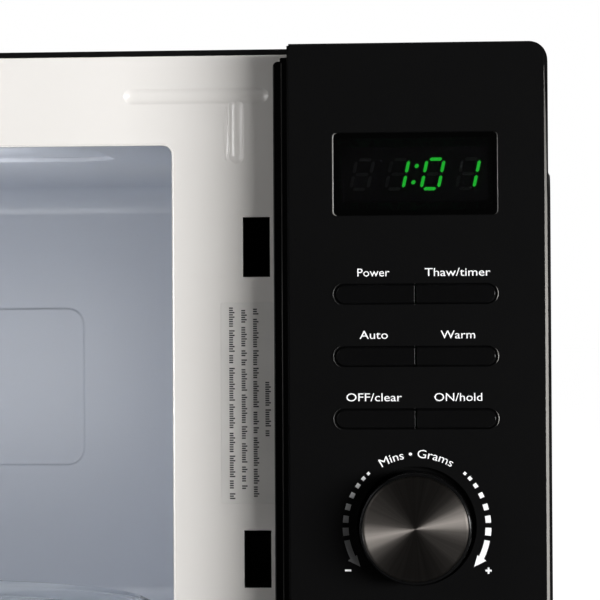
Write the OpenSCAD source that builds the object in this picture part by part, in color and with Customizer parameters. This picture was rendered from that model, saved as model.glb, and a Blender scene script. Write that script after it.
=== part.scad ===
// Countertop microwave oven with its side-hung door open.
// X runs to the right, Y from front to back, Z up. The origin is under the middle of the cabinet, on the
// surface that the feet stand on. The front plate's face is at y = front_y.

/* [Cabinet] */
// Width of the cabinet
cabinet_w = 480; // [478:1:490]
// Height of the cabinet without its feet
cabinet_h = 270; // [268:1:276]
// Depth of the cabinet from the front plate to the rear edge
cabinet_d = 360; // [360:1:372]
// Height of the feet
foot_h = 11; // [9:1:14]
// Thickness of the sheet metal
sheet_t = 0.8; // [0.7:0.1:0.9]
// Thickness of the hem round the cover's front edge
hem_t = 2; // [1.8:0.1:2.2]

/* [Cavity] */
// Width of the cavity
cavity_w = 312; // [300:1:313]
// Height of the cavity
cavity_h = 209.6; // [205:0.2:210]
// Depth of the cavity
cavity_d = 292; // [288:1:296]
// Distance from the cavity to the cabinet's right side
compartment_w = 143.4; // [142:0.1:144]
// Distance from the cabinet's top to the cavity's ceiling
ceiling_drop = 36.1; // [36:0.1:40]
// Radius of the coves at the cavity's back edges
cove_r = 13; // [10:1:15]

/* [Turntable] */
// Radius of the glass plate
plate_r = 127.5; // [120:0.5:130]
// Radius of the circle that the rollers run on
track_r = 101.5; // [98:0.5:104]
// Radius of a roller
roller_r = 6; // [5.5:0.1:6.2]

/* [Control panel] */
// Width of the panel's face
face_w = 95.8; // [95:0.1:96]
// Depth that the panel and the door stand out from the front plate
panel_d = 38; // [37:0.5:40]
// Width of the display window
window_w = 60.8; // [56:0.2:62]
// Height of the display window
window_h = 30.6; // [28:0.2:31]
// Width of a pair of buttons
pair_w = 59; // [56:0.5:60]
// Height of a button
button_h = 7; // [6.5:0.1:7.4]
// Distance between rows of buttons
row_pitch = 22.9; // [20:0.1:24]
// Radius of the knob
knob_r = 20.3; // [19:0.1:20.5]
// Height of the knob above the panel's face
knob_h = 16; // [14:0.5:18]

/* [Door] */
// Angle that the door stands open
door_open = 100; // [0:1:100]
// Distance from the door's left side to the hinge axis
hinge_side = 9; // [8.5:0.1:9]
// Distance from the front plate's face to the hinge axis
hinge_ahead = 11.5; // [11.5:0.1:12]
// Radius of a hinge pin
hinge_pin_r = 2.5; // [2:0.1:2.8]

/* [Hidden] */
$fn = 48;

far = 1000;
slack = 0.05;
gap = 0.3;

left_x = -cabinet_w / 2;
right_x = cabinet_w / 2;
bottom_z = foot_h;
top_z = foot_h + cabinet_h;
front_y = -cabinet_d / 2;
rear_y = cabinet_d / 2;
plate_back_y = front_y + sheet_t;

cavity_x1 = right_x - compartment_w;
cavity_x0 = cavity_x1 - cavity_w;
cavity_z1 = top_z - ceiling_drop;
cavity_z0 = cavity_z1 - cavity_h;
cavity_y1 = plate_back_y + cavity_d;
mouth_r = 4.8;
mouth_lip = 4;
turn_z = (cavity_z0 + cavity_z1) / 2;
liner_x1 = cavity_x1 + sheet_t;

// Panel and knob
face_x1 = right_x - 0.7;
face_x0 = face_x1 - face_w;
face_y = front_y - panel_d;
face_z0 = bottom_z + 2;
face_z1 = top_z - 2.1;
panel_wall = 2.5;
panel_cx = right_x - 49.4;
window_z = top_z - 50.4;
first_row_z = top_z - 94.5;
knob_z = top_z - 179.6;
release_z = bottom_z + 35;
release_w = 59;
release_h = 24;
knob_well_r = 21.8;
knob_well_d = 4;
shaft_r = 3;
board_y = front_y - 25;

// Latch
latch_x = right_x - 111.3;
slot_w = 10.35;
upper_slot = [top_z - 87.1, top_z - 64.2];
lower_slot = [top_z - 205.8, top_z - 183.9];
hook_z = [top_z - 75.6, top_z - 194.9];

// Door
hinge_x = left_x + hinge_side;
hinge_y = front_y - hinge_ahead;
door_x1 = face_x0 - 1;
door_back_x1 = face_x0 - 8.7;
door_back_y = front_y - gap;
door_pocket_x1 = door_back_x1 - 2.5;
door_pocket_x0 = left_x + 14;
lug_t = 2.5;
lug_top = top_z - 3.1;
lug_bottom = bottom_z + 3;

// Turntable
turn_x = (cavity_x0 + cavity_x1) / 2;
turn_y = (plate_back_y + cavity_y1) / 2;
track_drop = 3;
track_z = cavity_z0 - track_drop;
axle_z = track_z + roller_r;
plate_z = axle_z + roller_r + 0.1;

// Fan, behind the magnetron
fan_x = right_x - 62;
fan_z = top_z - 76;
fan_r = 45;
back_plane = rear_y - 1.6;

// ---------------------------------------------------------------- shared shapes

module block(x, y, z) {
    translate([x[0], y[0], z[0]])
        cube([x[1] - x[0], y[1] - y[0], z[1] - z[0]]);
}

// A block with a hairline left free all round, so that neighbours stay separate sheets
module seamed_block(x, y, z) {
    seam = [0.002, -0.002];
    block(x + seam, y + seam, z + seam);
}

// 2D outline drawn as (x, z), made solid between two y planes
module slab_y(y0, y1) {
    translate([0, y1, 0])
        rotate([90, 0, 0])
            linear_extrude(y1 - y0)
                children();
}

// 2D outline drawn as (y, z), made solid between two x planes
module slab_x(x0, x1) {
    translate([x0, 0, 0])
        rotate([90, 0, 90])
            linear_extrude(x1 - x0)
                children();
}

// 2D outline drawn as (x, y), made solid between two z planes
module slab_z(z0, z1) {
    translate([0, 0, z0])
        linear_extrude(z1 - z0)
            children();
}

module rounded_rect(a, b, r) {
    translate([a[0] + r, b[0]])
        square([a[1] - a[0] - 2 * r, b[1] - b[0]]);
    translate([a[0], b[0] + r])
        square([a[1] - a[0], b[1] - b[0] - 2 * r]);
    for (u = [a[0] + r, a[1] - r], v = [b[0] + r, b[1] - r])
        translate([u, v])
            circle(r);
}

// Rectangle with its two upper corners rounded
module arch(a, b, r) {
    translate([a[0], b[0]])
        square([a[1] - a[0], b[1] - b[0] - r]);
    translate([a[0] + r, b[0]])
        square([a[1] - a[0] - 2 * r, b[1] - b[0]]);
    for (u = [a[0] + r, a[1] - r])
        translate([u, b[1] - r])
            circle(r);
}

// Rectangle with the two corners at its high end of the first axis rounded
module coved(a, b, r) {
    translate([a[0], b[0]])
        square([a[1] - a[0] - r, b[1] - b[0]]);
    translate([a[0], b[0] + r])
        square([a[1] - a[0], b[1] - b[0] - 2 * r]);
    for (v = [b[0] + r, b[1] - r])
        translate([a[1] - r, v])
            circle(r);
}

// Cylinder along Y, starting at y
module rod_y(x, y, z, r, len) {
    translate([x, y + len, z])
        rotate([90, 0, 0])
            cylinder(h = len, r = r);
}

// Cylinder along X, starting at x
module rod_x(x, y, z, r, len) {
    translate([x, y, z])
        rotate([0, 90, 0])
            cylinder(h = len, r = r);
}

module at_hinge(angle) {
    translate([hinge_x, hinge_y, 0])
        rotate([0, 0, angle])
            translate([-hinge_x, -hinge_y, 0])
                children();
}

// ---------------------------------------------------------------- cabinet

// Rounded pad that stands out from a side; the cover's side panels are stamped with it
module side_pad(x_base, x_crown, shrink) {
    pad_y = [front_y + 60 + shrink, rear_y - 45 - shrink];
    pad_z = [bottom_z + 22 + shrink, top_z - 40 - shrink];
    slope = 5;
    hull() {
        slab_x(x_base - 0.01, x_base)
            rounded_rect(pad_y, pad_z, 14 - shrink, $fn = 32);
        slab_x(x_crown - 0.01, x_crown)
            rounded_rect([pad_y[0] + slope, pad_y[1] - slope], [pad_z[0] + slope, pad_z[1] - slope],
                         10 - shrink, $fn = 32);
    }
}

module outer_cover() {
    pad_h = 2;
    vent = [4, 56];
    color("#161616") difference() {
        union() {
            slab_y(front_y, rear_y) difference() {
                arch([left_x, right_x], [bottom_z, top_z], 6);
                arch([left_x + sheet_t, right_x - sheet_t], [bottom_z - 1, top_z - sheet_t], 6 - sheet_t);
            }
            slab_y(front_y, front_y + hem_d) difference() {
                arch([left_x, right_x], [bottom_z, top_z], 6);
                arch([left_x + hem_t, right_x - hem_t], [bottom_z - 1, top_z - hem_t], 6 - hem_t);
            }
            side_pad(right_x - sheet_t, right_x + pad_h, 0);
            mirror([1, 0, 0])
                side_pad(right_x - sheet_t, right_x + pad_h, 0);
        }
        side_pad(right_x - sheet_t - 0.5, right_x + pad_h - sheet_t, sheet_t);
        mirror([1, 0, 0])
            side_pad(right_x - sheet_t - 0.5, right_x + pad_h - sheet_t, sheet_t);
        for (row = [0, 1], i = [0:8])
            translate([left_x - 5, rear_y - 60 - i * 10, bottom_z + 60 + row * 75])
                cube([10, vent[0], vent[1]]);
    }
}

hem_d = 8;
foot_x = cabinet_w / 2 - 40;
foot_y = cabinet_d / 2 - 30;

module base_plate() {
    hem_end = front_y + hem_d + 0.1;
    color("#9a9c9e") difference() {
        union() {
            block([left_x + sheet_t + 0.1, right_x - sheet_t - 0.1], [hem_end, rear_y - 1.8],
                  [bottom_z, bottom_z + sheet_t]);
            block([left_x + hem_t + 0.1, right_x - hem_t - 0.1], [front_y + 1, hem_end],
                  [bottom_z, bottom_z + sheet_t]);
        }
        for (sx = [-1, 1], sy = [-1, 1])
            translate([sx * foot_x, sy * foot_y, bottom_z - 1])
                cylinder(h = 3, r = 2.1);
        for (i = [0:6])
            block([right_x - 85, right_x - 35], [front_y + 12 + i * 8, front_y + 16 + i * 8],
                  [bottom_z - 1, bottom_z + 2]);
    }
}

module rear_panel() {
    grille_r = 46;
    color("#a4a6a8") difference() {
        slab_y(back_plane, back_plane + sheet_t)
            arch([left_x + sheet_t + 0.1, right_x - sheet_t - 0.1],
                 [bottom_z + sheet_t + 0.1, top_z - sheet_t - 0.1], 5);
        for (i = [-5:5], side = [-1, 1]) {
            half = sqrt(grille_r * grille_r - pow(i * 8, 2));
            slot_x = side < 0 ? [fan_x - half, fan_x - 1.5] : [fan_x + 1.5, fan_x + half];
            block(slot_x, [back_plane - 1, back_plane + 2], [fan_z + i * 8 - 2, fan_z + i * 8 + 2]);
        }
        for (i = [0:7])
            block([left_x + 30, left_x + 90], [back_plane - 1, back_plane + 2],
                  [top_z - 110 + i * 9, top_z - 106 + i * 9]);
        rod_y(gland_x, back_plane - 1, gland_z, 8, 3);
        for (p = screw_places)
            rod_y(p[0], back_plane - 1, p[1], 2, 3);
    }
}

screw_places = [
    for (sx = [-1, 1], h = [30, cabinet_h / 2, cabinet_h - 22])
        [sx * (cabinet_w / 2 - 12), bottom_z + h],
];

module cabinet_screws() {
    color("#c9cbcd") for (p = screw_places) {
        rod_y(p[0], back_plane - 8, p[1], 1.9, 8 + sheet_t);
        difference() {
            rod_y(p[0], back_plane + sheet_t, p[1], 4, 2.2);
            for (a = [0, 90])
                translate([p[0], back_plane + sheet_t + 1.9, p[1]])
                    rotate([0, a, 0])
                        cube([5, 1.8, 1], center = true);
        }
    }
}

gland_x = right_x - 35;
gland_z = bottom_z + 49;

module cord_gland() {
    color("#151515") difference() {
        union() {
            rod_y(gland_x, back_plane - 9, gland_z, 7.9, 9 + sheet_t);
            rod_y(gland_x, back_plane + sheet_t, gland_z, 11, 3);
            rod_y(gland_x, back_plane - 9, gland_z, 9.5, 7);
        }
        rod_y(gland_x, back_plane - 10, gland_z, 3.7, 20);
    }
}

module feet() {
    color("#1c1c1c") for (sx = [-1, 1], sy = [-1, 1])
        translate([sx * foot_x, sy * foot_y, 0]) {
            cylinder(h = 3, r1 = 9, r2 = 10);
            translate([0, 0, 3])
                cylinder(h = foot_h - 3, r1 = 10, r2 = 12);
            translate([0, 0, foot_h])
                cylinder(h = 4, r = 2);
        }
}

// Shallow stamped groove between two points of the front plate
module groove(a, b, extra) {
    w = 5.8;
    deep = 1;
    r = (w * w / 4 + deep * deep) / (2 * deep);
    dx = b[0] - a[0];
    dz = b[1] - a[1];
    translate([a[0], front_y - r + deep, a[1]]) {
        sphere(r + extra);
        rotate([0, atan2(dx, dz), 0])
            cylinder(h = sqrt(dx * dx + dz * dz), r = r + extra);
    }
    translate([b[0], front_y - r + deep, b[1]])
        sphere(r + extra);
}

module grooves(extra) {
    upper_z = top_z - 17.6;
    lower_z = bottom_z + 12;
    upright_x = latch_x - 7.5;
    for (mirrored = [0, 1])
        translate([mirrored * 2 * turn_x, 0, 0])
            mirror([mirrored, 0, 0]) {
                if (mirrored == 0) {
                    groove([latch_x - 48, upper_z], [latch_x + 2, upper_z], extra);
                    groove([upright_x, upper_z - 4], [upright_x, upper_z - 23], extra);
                }
                groove([turn_x + 20, upper_z], [turn_x + 70, upper_z], extra);
                groove([turn_x + 20, lower_z], [turn_x + 70, lower_z], extra);
            }
}

module front_plate_shape() {
    difference() {
        union() {
            slab_y(front_y, plate_back_y)
                arch([left_x + hem_t + 0.2, right_x - hem_t - 0.2],
                     [bottom_z + sheet_t + 0.2, top_z - hem_t - 0.2], 3.8);
            intersection() {
                grooves(sheet_t);
                block([-far, far], [front_y, front_y + 4], [0, far]);
            }
        }
        grooves(0);
        slab_y(front_y - 1, front_y + 4) {
            rounded_rect([cavity_x0, cavity_x1], [cavity_z0, cavity_z1], mouth_r);
            for (slot = [upper_slot, lower_slot])
                translate([latch_x - slot_w / 2, slot[0]])
                    square([slot_w, slot[1] - slot[0]]);
            rounded_rect([right_x - 82, right_x - 18], [bottom_z + 52, top_z - 26], 4);
            rounded_rect([right_x - 76, right_x - 60], [release_z - 6, release_z + 10], 2);
            translate([hinge_x - 6.3, lug_top - lug_t - gap])
                square([12.6, 20]);
            translate([hinge_x - 6.3, bottom_z])
                square([12.6, lug_bottom + lug_t + gap - bottom_z]);
        }
    }
}

// The plate is a frame of strips round the cavity's mouth and the latch slots
plate_x = [cavity_x0 + mouth_lip, cavity_x1 - mouth_lip];
plate_regions = [
    [[-far, plate_x[0]], [0, far]],
    [plate_x, [0, turn_z]],
    [plate_x, [turn_z, far]],
    [[plate_x[1], far], [0, lower_slot[0]]],
    [[plate_x[1], latch_x], lower_slot],
    [[latch_x, far], lower_slot],
    [[plate_x[1], far], [lower_slot[1], upper_slot[0]]],
    [[plate_x[1], latch_x], upper_slot],
    [[latch_x, far], upper_slot],
    [[plate_x[1], far], [upper_slot[1], far]],
];

module front_plate() {
    color("#ebe8e4") for (region = plate_regions)
        intersection() {
            front_plate_shape();
            seamed_block(region[0], [-far, far], region[1]);
        }
}

// ---------------------------------------------------------------- cavity

// The cavity's space, with straight front edges and coved back ones, grown on all sides
module cavity_space(y0, grow) {
    x = [cavity_x0 - grow, cavity_x1 + grow];
    z = [cavity_z0 - grow, cavity_z1 + grow];
    y = [y0, cavity_y1 + grow];
    intersection() {
        slab_y(y[0], y[1] + 1)
            rounded_rect(x, z, mouth_r + grow);
        slab_x(x[0] - 1, x[1] + 1)
            coved(y, z, cove_r + grow);
        slab_z(z[0] - 1, z[1] + 1)
            mirror([1, -1])
                coved(y, x, cove_r + grow);
    }
}

track_recess_r = track_r + 16;
emboss_w = 152;
emboss_depth = 1.2;
emboss_z = [cavity_z0 + 73, cavity_z0 + 150];
ceiling_step_y = [plate_back_y + 12, plate_back_y + 96];
ceiling_step_x = [cavity_x0 + 34, cavity_x1 - 34];

module liner_stampings(grow) {
    translate([turn_x, turn_y, track_z - grow])
        cylinder(h = track_drop + grow + 0.5, r = track_recess_r + grow);
    slab_y(cavity_y1 - 1, cavity_y1 + emboss_depth + grow)
        rounded_rect([turn_x - emboss_w / 2 - grow, turn_x + emboss_w / 2 + grow],
                     [emboss_z[0] - grow, emboss_z[1] + grow], 8 + grow);
    slab_z(cavity_z1 - 1, cavity_z1 + 2 + grow)
        rounded_rect([ceiling_step_x[0] - grow, ceiling_step_x[1] + grow],
                     [ceiling_step_y[0] - grow, ceiling_step_y[1] + grow], 20 + grow);
}

lamp_y = front_y + 70;
lamp_z = cavity_z1 - 28;

liner_flange = 7;

module liner_shape() {
    difference() {
        union() {
            cavity_space(plate_back_y, sheet_t);
            slab_y(plate_back_y, plate_back_y + sheet_t)
                rounded_rect([cavity_x0 - liner_flange, cavity_x1 + liner_flange],
                             [cavity_z0 - liner_flange, cavity_z1 + liner_flange], mouth_r + liner_flange);
            liner_stampings(sheet_t);
        }
        cavity_space(plate_back_y - 1, 0);
        liner_stampings(0);
        translate([turn_x, turn_y, track_z - 2])
            cylinder(h = 3, r = 6);
        block([cavity_x1 - 1, cavity_x1 + 2], aperture_y, aperture_z);
        for (i = [-2:2], j = [-2:2])
            rod_x(cavity_x1 - 1, lamp_y + i * 6, lamp_z + j * 6, 1.8, 3);
        for (i = [-3:3], j = [-2:2])
            rod_x(cavity_x0 - 2, turn_y + 70 + i * 6, cavity_z1 - 45 + j * 6, 1.8, 3);
    }
}

// Where the liner's sheets meet: the flange, the straight walls, the coved edges and the back
back_rim = 1.5;
liner_y = [plate_back_y - 1, plate_back_y + sheet_t, cavity_y1 - cove_r, cavity_y1 - back_rim, cavity_y1 + far];
liner_regions = [
    for (i = [0:2])
        let (edge = i == 2 ? cove_r : mouth_lip, y = [liner_y[i], liner_y[i + 1]])
            each [
                [[-far, cavity_x0 + edge], y, [0, far]],
                [[cavity_x1 - edge, far], y, [0, far]],
                [[cavity_x0 + edge, cavity_x1 - edge], y, [0, turn_z]],
                [[cavity_x0 + edge, cavity_x1 - edge], y, [turn_z, far]],
            ],
    [[-far, far], [liner_y[3], liner_y[4]], [0, far]],
];

module cavity_liner() {
    color("#868b94") for (region = liner_regions)
        intersection() {
            liner_shape();
            seamed_block(region[0], region[1], region[2]);
        }
}

aperture_y = [turn_y - 12, turn_y + 58];
aperture_z = [cavity_z1 - 62, cavity_z1 - 16];
guide_y = [turn_y - 27, turn_y + 93];
guide_z = [cavity_z1 - 73, cavity_z1 - 3];
guide_x1 = liner_x1 + 40;
magnetron_y = turn_y + 33;
magnetron_z = fan_z;

module waveguide() {
    t = 1;
    color("#b9bbbd") difference() {
        block([liner_x1, guide_x1], guide_y, guide_z);
        block([liner_x1 - 1, guide_x1 - t], [guide_y[0] + t, guide_y[1] - t], [guide_z[0] + t, guide_z[1] - t]);
        rod_x(guide_x1 - 2, magnetron_y, magnetron_z, 12, 4);
    }
}

module waveguide_cover() {
    color("#cdbf9c") slab_x(cavity_x1 - 0.6, cavity_x1)
        rounded_rect([aperture_y[0] - 8, aperture_y[1] + 8], [aperture_z[0] - 7, aperture_z[1] + 7], 5);
}

module magnetron() {
    x = guide_x1;
    color("#a9abad") {
        block([x, x + 1.5], [magnetron_y - 46, magnetron_y + 46], [magnetron_z - 38, magnetron_z + 38]);
        for (side = [-1, 1])
            block([x, x + 64], [magnetron_y - 40, magnetron_y + 40],
                  [magnetron_z + side * 34 - 1, magnetron_z + side * 34 + 1]);
        block([x + 62, x + 64], [magnetron_y - 40, magnetron_y + 40], [magnetron_z - 34, magnetron_z + 34]);
        for (i = [0:7])
            block([x + 17 + i * 4.5, x + 17.8 + i * 4.5], [magnetron_y - 36, magnetron_y + 36],
                  [magnetron_z - 28, magnetron_z + 28]);
        rod_x(x, magnetron_y, magnetron_z, 18, 64);
        rod_x(x + 1.5, magnetron_y, magnetron_z, 27, 11);
        rod_x(x + 53, magnetron_y, magnetron_z, 27, 9);
        block([x + 64, x + 88], [magnetron_y - 28, magnetron_y + 28], [magnetron_z - 26, magnetron_z + 26]);
        rod_x(x - 24, magnetron_y, magnetron_z, 8, 24.5);
        block([x + 70, x + 82], [magnetron_y - 40, magnetron_y - 28], [magnetron_z - 8, magnetron_z + 8]);
    }
}

// ---------------------------------------------------------------- electrical parts

core_x = right_x - 80;
core_y = [front_y + 78, front_y + 134];
core_z = bottom_z + sheet_t;

module hv_transformer_core() {
    color("#5a5650") slab_y(core_y[0], core_y[1]) difference() {
        translate([core_x - 48, core_z])
            square([96, 78]);
        for (side = [-1, 1])
            translate([core_x + side * 24 - 8, core_z + 16])
                square([16, 46]);
    }
}

module hv_transformer_windings() {
    color("#b0642c") for (z = [[core_z + 16.5, core_z + 37], [core_z + 40, core_z + 61.5]])
        difference() {
            slab_z(z[0], z[1])
                rounded_rect([core_x - 31.5, core_x + 31.5], [core_y[0] - 15, core_y[1] + 15], 8);
            block([core_x - 16.2, core_x + 16.2], [core_y[0] - 0.2, core_y[1] + 0.2], [z[0] - 1, z[1] + 1]);
        }
}

cap_x = liner_x1 + 26;

module hv_capacitor() {
    y = [rear_y - 155, rear_y - 65];
    color("#b4b7ba") {
        slab_y(y[0], y[1])
            rounded_rect([cap_x - 17, cap_x + 17], [core_z + 1, core_z + 55], 16.9);
        for (dz = [18, 38])
            block([cap_x - 3.2, cap_x + 3.2], [y[0] - 12, y[0]], [core_z + dz - 0.4, core_z + dz + 0.4]);
        block([cap_x - 10, cap_x + 10], [y[0] + 30, y[0] + 44], [core_z, core_z + 1.5]);
    }
}

module hv_diode() {
    x = cap_x + 34;
    y = rear_y - 172;
    color("#1d1d1f") {
        rod_y(x, y, core_z + 6, 4.5, 24);
        rod_y(x, y + 24, core_z + 6, 0.8, 12);
        block([x - 0.8, x + 0.8], [y + 34.5, y + 36], [core_z, core_z + 6]);
        block([x - 4, x + 4], [y + 30, y + 40], [core_z, core_z + 1]);
    }
}

module filter_board() {
    x = [right_x - 92, right_x - 30];
    y = [rear_y - 130, rear_y - 68];
    z = core_z + 4;
    color("#1f6b3a") {
        difference() {
            union() {
                block(x, y, [z, z + 1.6]);
                for (u = [x[0] + 4, x[1] - 4], v = [y[0] + 4, y[1] - 4])
                    translate([u, v, core_z])
                        cylinder(h = 4.5, r = 3);
                block([x[0] + 8, x[0] + 26], [y[0] + 10, y[0] + 20], [z + 1.5, z + 15]);
                block([x[0] + 34, x[0] + 52], [y[0] + 14, y[0] + 46], [z + 1.5, z + 24]);
                rod_y(x[0] + 14, y[0] + 28, z + 6.5, 5, 22);
            }
            rod_y(x[0] + 14, y[0] + 27, z + 6.5, 2, 24);
        }
    }
}

module fan_shroud() {
    half = 54;
    y = back_plane - 27;
    color("#d8d8d4") difference() {
        union() {
            block([fan_x - half, fan_x + half], [y, y + 2], [fan_z - half, fan_z + half]);
            rod_y(fan_x, y, fan_z, fan_r + 4, 27);
        }
        rod_y(fan_x, y - 1, fan_z, fan_r + 2, 29);
    }
}

module fan_motor() {
    y = back_plane - 27;
    color("#8b8d90") difference() {
        union() {
            block([fan_x - 27, fan_x + 27], [y - 30, y - 12], [fan_z - 22, fan_z + 22]);
            block([fan_x - 22, fan_x + 22], [y - 38, y - 4], [fan_z - 20, fan_z - 4]);
            for (side = [-1, 1]) {
                block([fan_x + side * 49.3 - 2, fan_x + side * 49.3 + 2], [y - 12, y], [fan_z + 3, fan_z + 9]);
                block([fan_x + side * 36 - 15.3, fan_x + side * 36 + 15.3], [y - 14, y - 12], [fan_z + 3, fan_z + 9]);
            }
            rod_y(fan_x, y - 12, fan_z + 6, 7, 6);
        }
        rod_y(fan_x, y - 34, fan_z + 6, 2.5 + slack, 60);
    }
}

module fan_blade() {
    hub_y = back_plane - 18;
    z = fan_z + 6;
    color("#e2e2de") {
        rod_y(fan_x, back_plane - 57, z, 2.5, 48);
        rod_y(fan_x, hub_y, z, 10, 12);
        for (i = [0:4])
            translate([fan_x, hub_y + 6, z])
                rotate([0, i * 72, 0])
                    translate([0, 0, 8])
                        rotate([0, 0, 32])
                            translate([-11, -0.8, 0])
                                cube([22, 1.6, 28]);
    }
}

module air_duct() {
    half = 53;
    y = [magnetron_y + 62, back_plane - 27];
    t = 1.5;
    color("#cfcfca") difference() {
        block([fan_x - half, fan_x + half], y, [fan_z - half, fan_z + half]);
        block([fan_x - half + t, fan_x + half - t], [y[0] - 1, y[1] + 1], [fan_z - half + t, fan_z + half - t]);
    }
}

module oven_lamp() {
    color("#f2ecd8") {
        x = liner_x1 + 4;
        rod_x(x + 3, lamp_y, lamp_z, 9, 22);
        translate([x + 3, lamp_y, lamp_z])
            rotate([0, 90, 0])
                cylinder(h = 1, r = 9);
        rod_x(x + 24, lamp_y, lamp_z, 11, 10);
        block([liner_x1, x + 34], [lamp_y - 9, lamp_y + 9], [lamp_z - 14, lamp_z - 10]);
        block([x + 24, x + 34], [lamp_y - 9, lamp_y + 9], [lamp_z - 13, lamp_z]);
    }
}

module thermal_cutout() {
    z = cavity_z1 + sheet_t;
    color("#2b2b2b") {
        block([turn_x - 12, turn_x + 12], [turn_y + 50, turn_y + 66], [z, z + 1]);
        translate([turn_x, turn_y + 58, z + 0.5])
            cylinder(h = 8.5, r = 7.5);
        for (side = [-1, 1])
            block([turn_x + side * 4 - 0.4, turn_x + side * 4 + 0.4], [turn_y + 55, turn_y + 61], [z + 8, z + 16]);
    }
}

module turntable_motor() {
    z1 = track_z - sheet_t;
    color("#b7b9bb") difference() {
        union() {
            translate([turn_x, turn_y, z1 - 15])
                cylinder(h = 15, r = 25);
            block([turn_x - 36, turn_x + 36], [turn_y - 6, turn_y + 6], [z1 - 1, z1]);
            block([turn_x - 9, turn_x + 9], [turn_y - 36, turn_y - 20], [z1 - 13, z1 - 3]);
        }
        translate([turn_x, turn_y, z1 - 12])
            cylinder(h = 13, r = 3.5 + slack);
    }
}

// ---------------------------------------------------------------- turntable

module at_turntable() {
    translate([turn_x, turn_y, 0])
        children();
}

module drive_coupler() {
    color("#e8e8e4") at_turntable() {
        translate([0, 0, track_z - 11])
            cylinder(h = 18, r = 3.5);
        translate([0, 0, track_z + 1.5])
            cylinder(h = plate_z - track_z - 1.5, r = 9);
        for (a = [0, 120, 240])
            rotate([0, 0, a])
                translate([0, -4, plate_z - 5])
                    cube([24, 8, 5]);
    }
}

module glass_plate() {
    z = plate_z;
    color("#dfe8e8", 0.5) at_turntable() {
        rotate_extrude($fn = 96)
            polygon([
                [0, z], [plate_r - 14, z], [plate_r, z + 6.2], [plate_r, z + 8.6],
                [plate_r - 1.6, z + 9.2], [plate_r - 4, z + 7], [plate_r - 15, z + 4], [0, z + 4],
            ]);
        for (a = [60, 180, 300])
            rotate([0, 0, a])
                translate([14, -5, z - 4])
                    cube([8, 10, 4.5]);
    }
}

ring_in = track_r - 9;
ring_out = track_r - 4;

module roller_ring() {
    color("#e6e6e1") at_turntable() {
        difference() {
            translate([0, 0, axle_z - 2])
                cylinder(h = 4, r = ring_out, $fn = 96);
            translate([0, 0, axle_z - 3])
                cylinder(h = 6, r = ring_in, $fn = 96);
        }
        for (a = [90, 210, 330])
            rotate([0, 0, a])
                rod_x(ring_out - 1, 0, axle_z, 1.5, 11);
    }
}

module roller(a) {
    color("#f0f0ec") at_turntable() rotate([0, 0, a])
        difference() {
            rod_x(track_r - 2.5, 0, axle_z, roller_r, 5);
            rod_x(track_r - 4, 0, axle_z, 1.5 + slack, 10);
        }
}

module roller_1() { roller(90); }
module roller_2() { roller(210); }
module roller_3() { roller(330); }

// ---------------------------------------------------------------- control panel

// Outline of a whole button pair or its opening, drawn as (x, z) about the pair's centre
module stadium(w, h) {
    r = h / 2;
    translate([-w / 2 + r, -r])
        square([w - h, h]);
    for (side = [-1, 1])
        translate([side * (w / 2 - r), 0])
            circle(r);
}

module control_panel() {
    chamfer = 1.4;
    edge = 0.7;
    back_y = front_y;
    color("#121212") difference() {
        union() {
            intersection() {
                slab_y(face_y, back_y) {
                    arch([face_x0, face_x1], [face_z0, face_z1], 7);
                    translate([face_x0, face_z1 - 8])
                        square([20, 8 - edge]);
                    translate([face_x0 + edge, face_z1 - 8])
                        square([20, 8]);
                }
                slab_z(face_z0 - 1, face_z1 + 1)
                    polygon([
                        [face_x0 + edge, face_y], [face_x1 - chamfer, face_y], [face_x1, face_y + chamfer],
                        [face_x1, back_y], [face_x0, back_y], [face_x0, face_y + edge],
                    ]);
                slab_x(face_x0 - 1, face_x1 + 1)
                    polygon([
                        [face_y, face_z0 + edge], [face_y, face_z1 - edge], [face_y + edge, face_z1],
                        [back_y, face_z1], [back_y, face_z0], [face_y + edge, face_z0],
                    ]);
            }
            slab_y(front_y - 24, back_y)
                arch([face_x0 - 3.6, face_x0 + 6], [face_z0 + 3.7, face_z1 - 3.7], 0.6);
            slab_y(front_y - 10, back_y)
                arch([face_x0 - 7.3, face_x0], [face_z0 + 3.7, face_z1 - 3.7], 1.8);
        }
        block([face_x0 + 2.2, face_x1 - 2.9], [face_y + panel_wall, back_y + 1], [face_z0 + 2.2, face_z1 - 2.9]);
        slab_y(face_y - 1, face_y + 1)
            translate([panel_cx, window_z])
                rounded_rect([-window_w / 2, window_w / 2], [-window_h / 2, window_h / 2], 1.6);
        slab_y(face_y, face_y + panel_wall + 1)
            translate([panel_cx, window_z])
                square([window_w - 4, window_h - 4], center = true);
        for (row = [0:2])
            slab_y(face_y - 1, face_y + panel_wall + 1)
                translate([panel_cx, first_row_z - row * row_pitch])
                    stadium(pair_w + 2 * gap, button_h + 2 * gap);
        rod_y(panel_cx, face_y - 1, knob_z, knob_well_r, knob_well_d + 1);
        rod_y(panel_cx, face_y, knob_z, 4, 12);
        slab_y(face_y - 1, face_y + panel_wall + 1)
            translate([panel_cx, release_z])
                rounded_rect([-release_w / 2 - gap, release_w / 2 + gap], [-release_h / 2 - gap, release_h / 2 + gap], 2);
    }
    color("#121212") difference() {
        rod_y(panel_cx, face_y + panel_wall - 0.01, knob_z, knob_well_r + 2, 3.5);
        rod_y(panel_cx, face_y, knob_z, knob_well_r, knob_well_d);
        rod_y(panel_cx, face_y, knob_z, 4, 12);
    }
}

module display_window() {
    half = [window_w / 2 - 0.2, window_h / 2 - 0.2];
    color("#0a0a0a", 0.6) {
        slab_y(face_y + 0.45, face_y + 1)
            translate([panel_cx, window_z])
                rounded_rect([-half[0], half[0]], [-half[1], half[1]], 1.4);
        slab_y(face_y + 0.9, face_y + 2.4)
            translate([panel_cx, window_z])
                square([window_w - 4.2, window_h - 4.2], center = true);
    }
}

display_y = face_y + panel_wall + 1;

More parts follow.
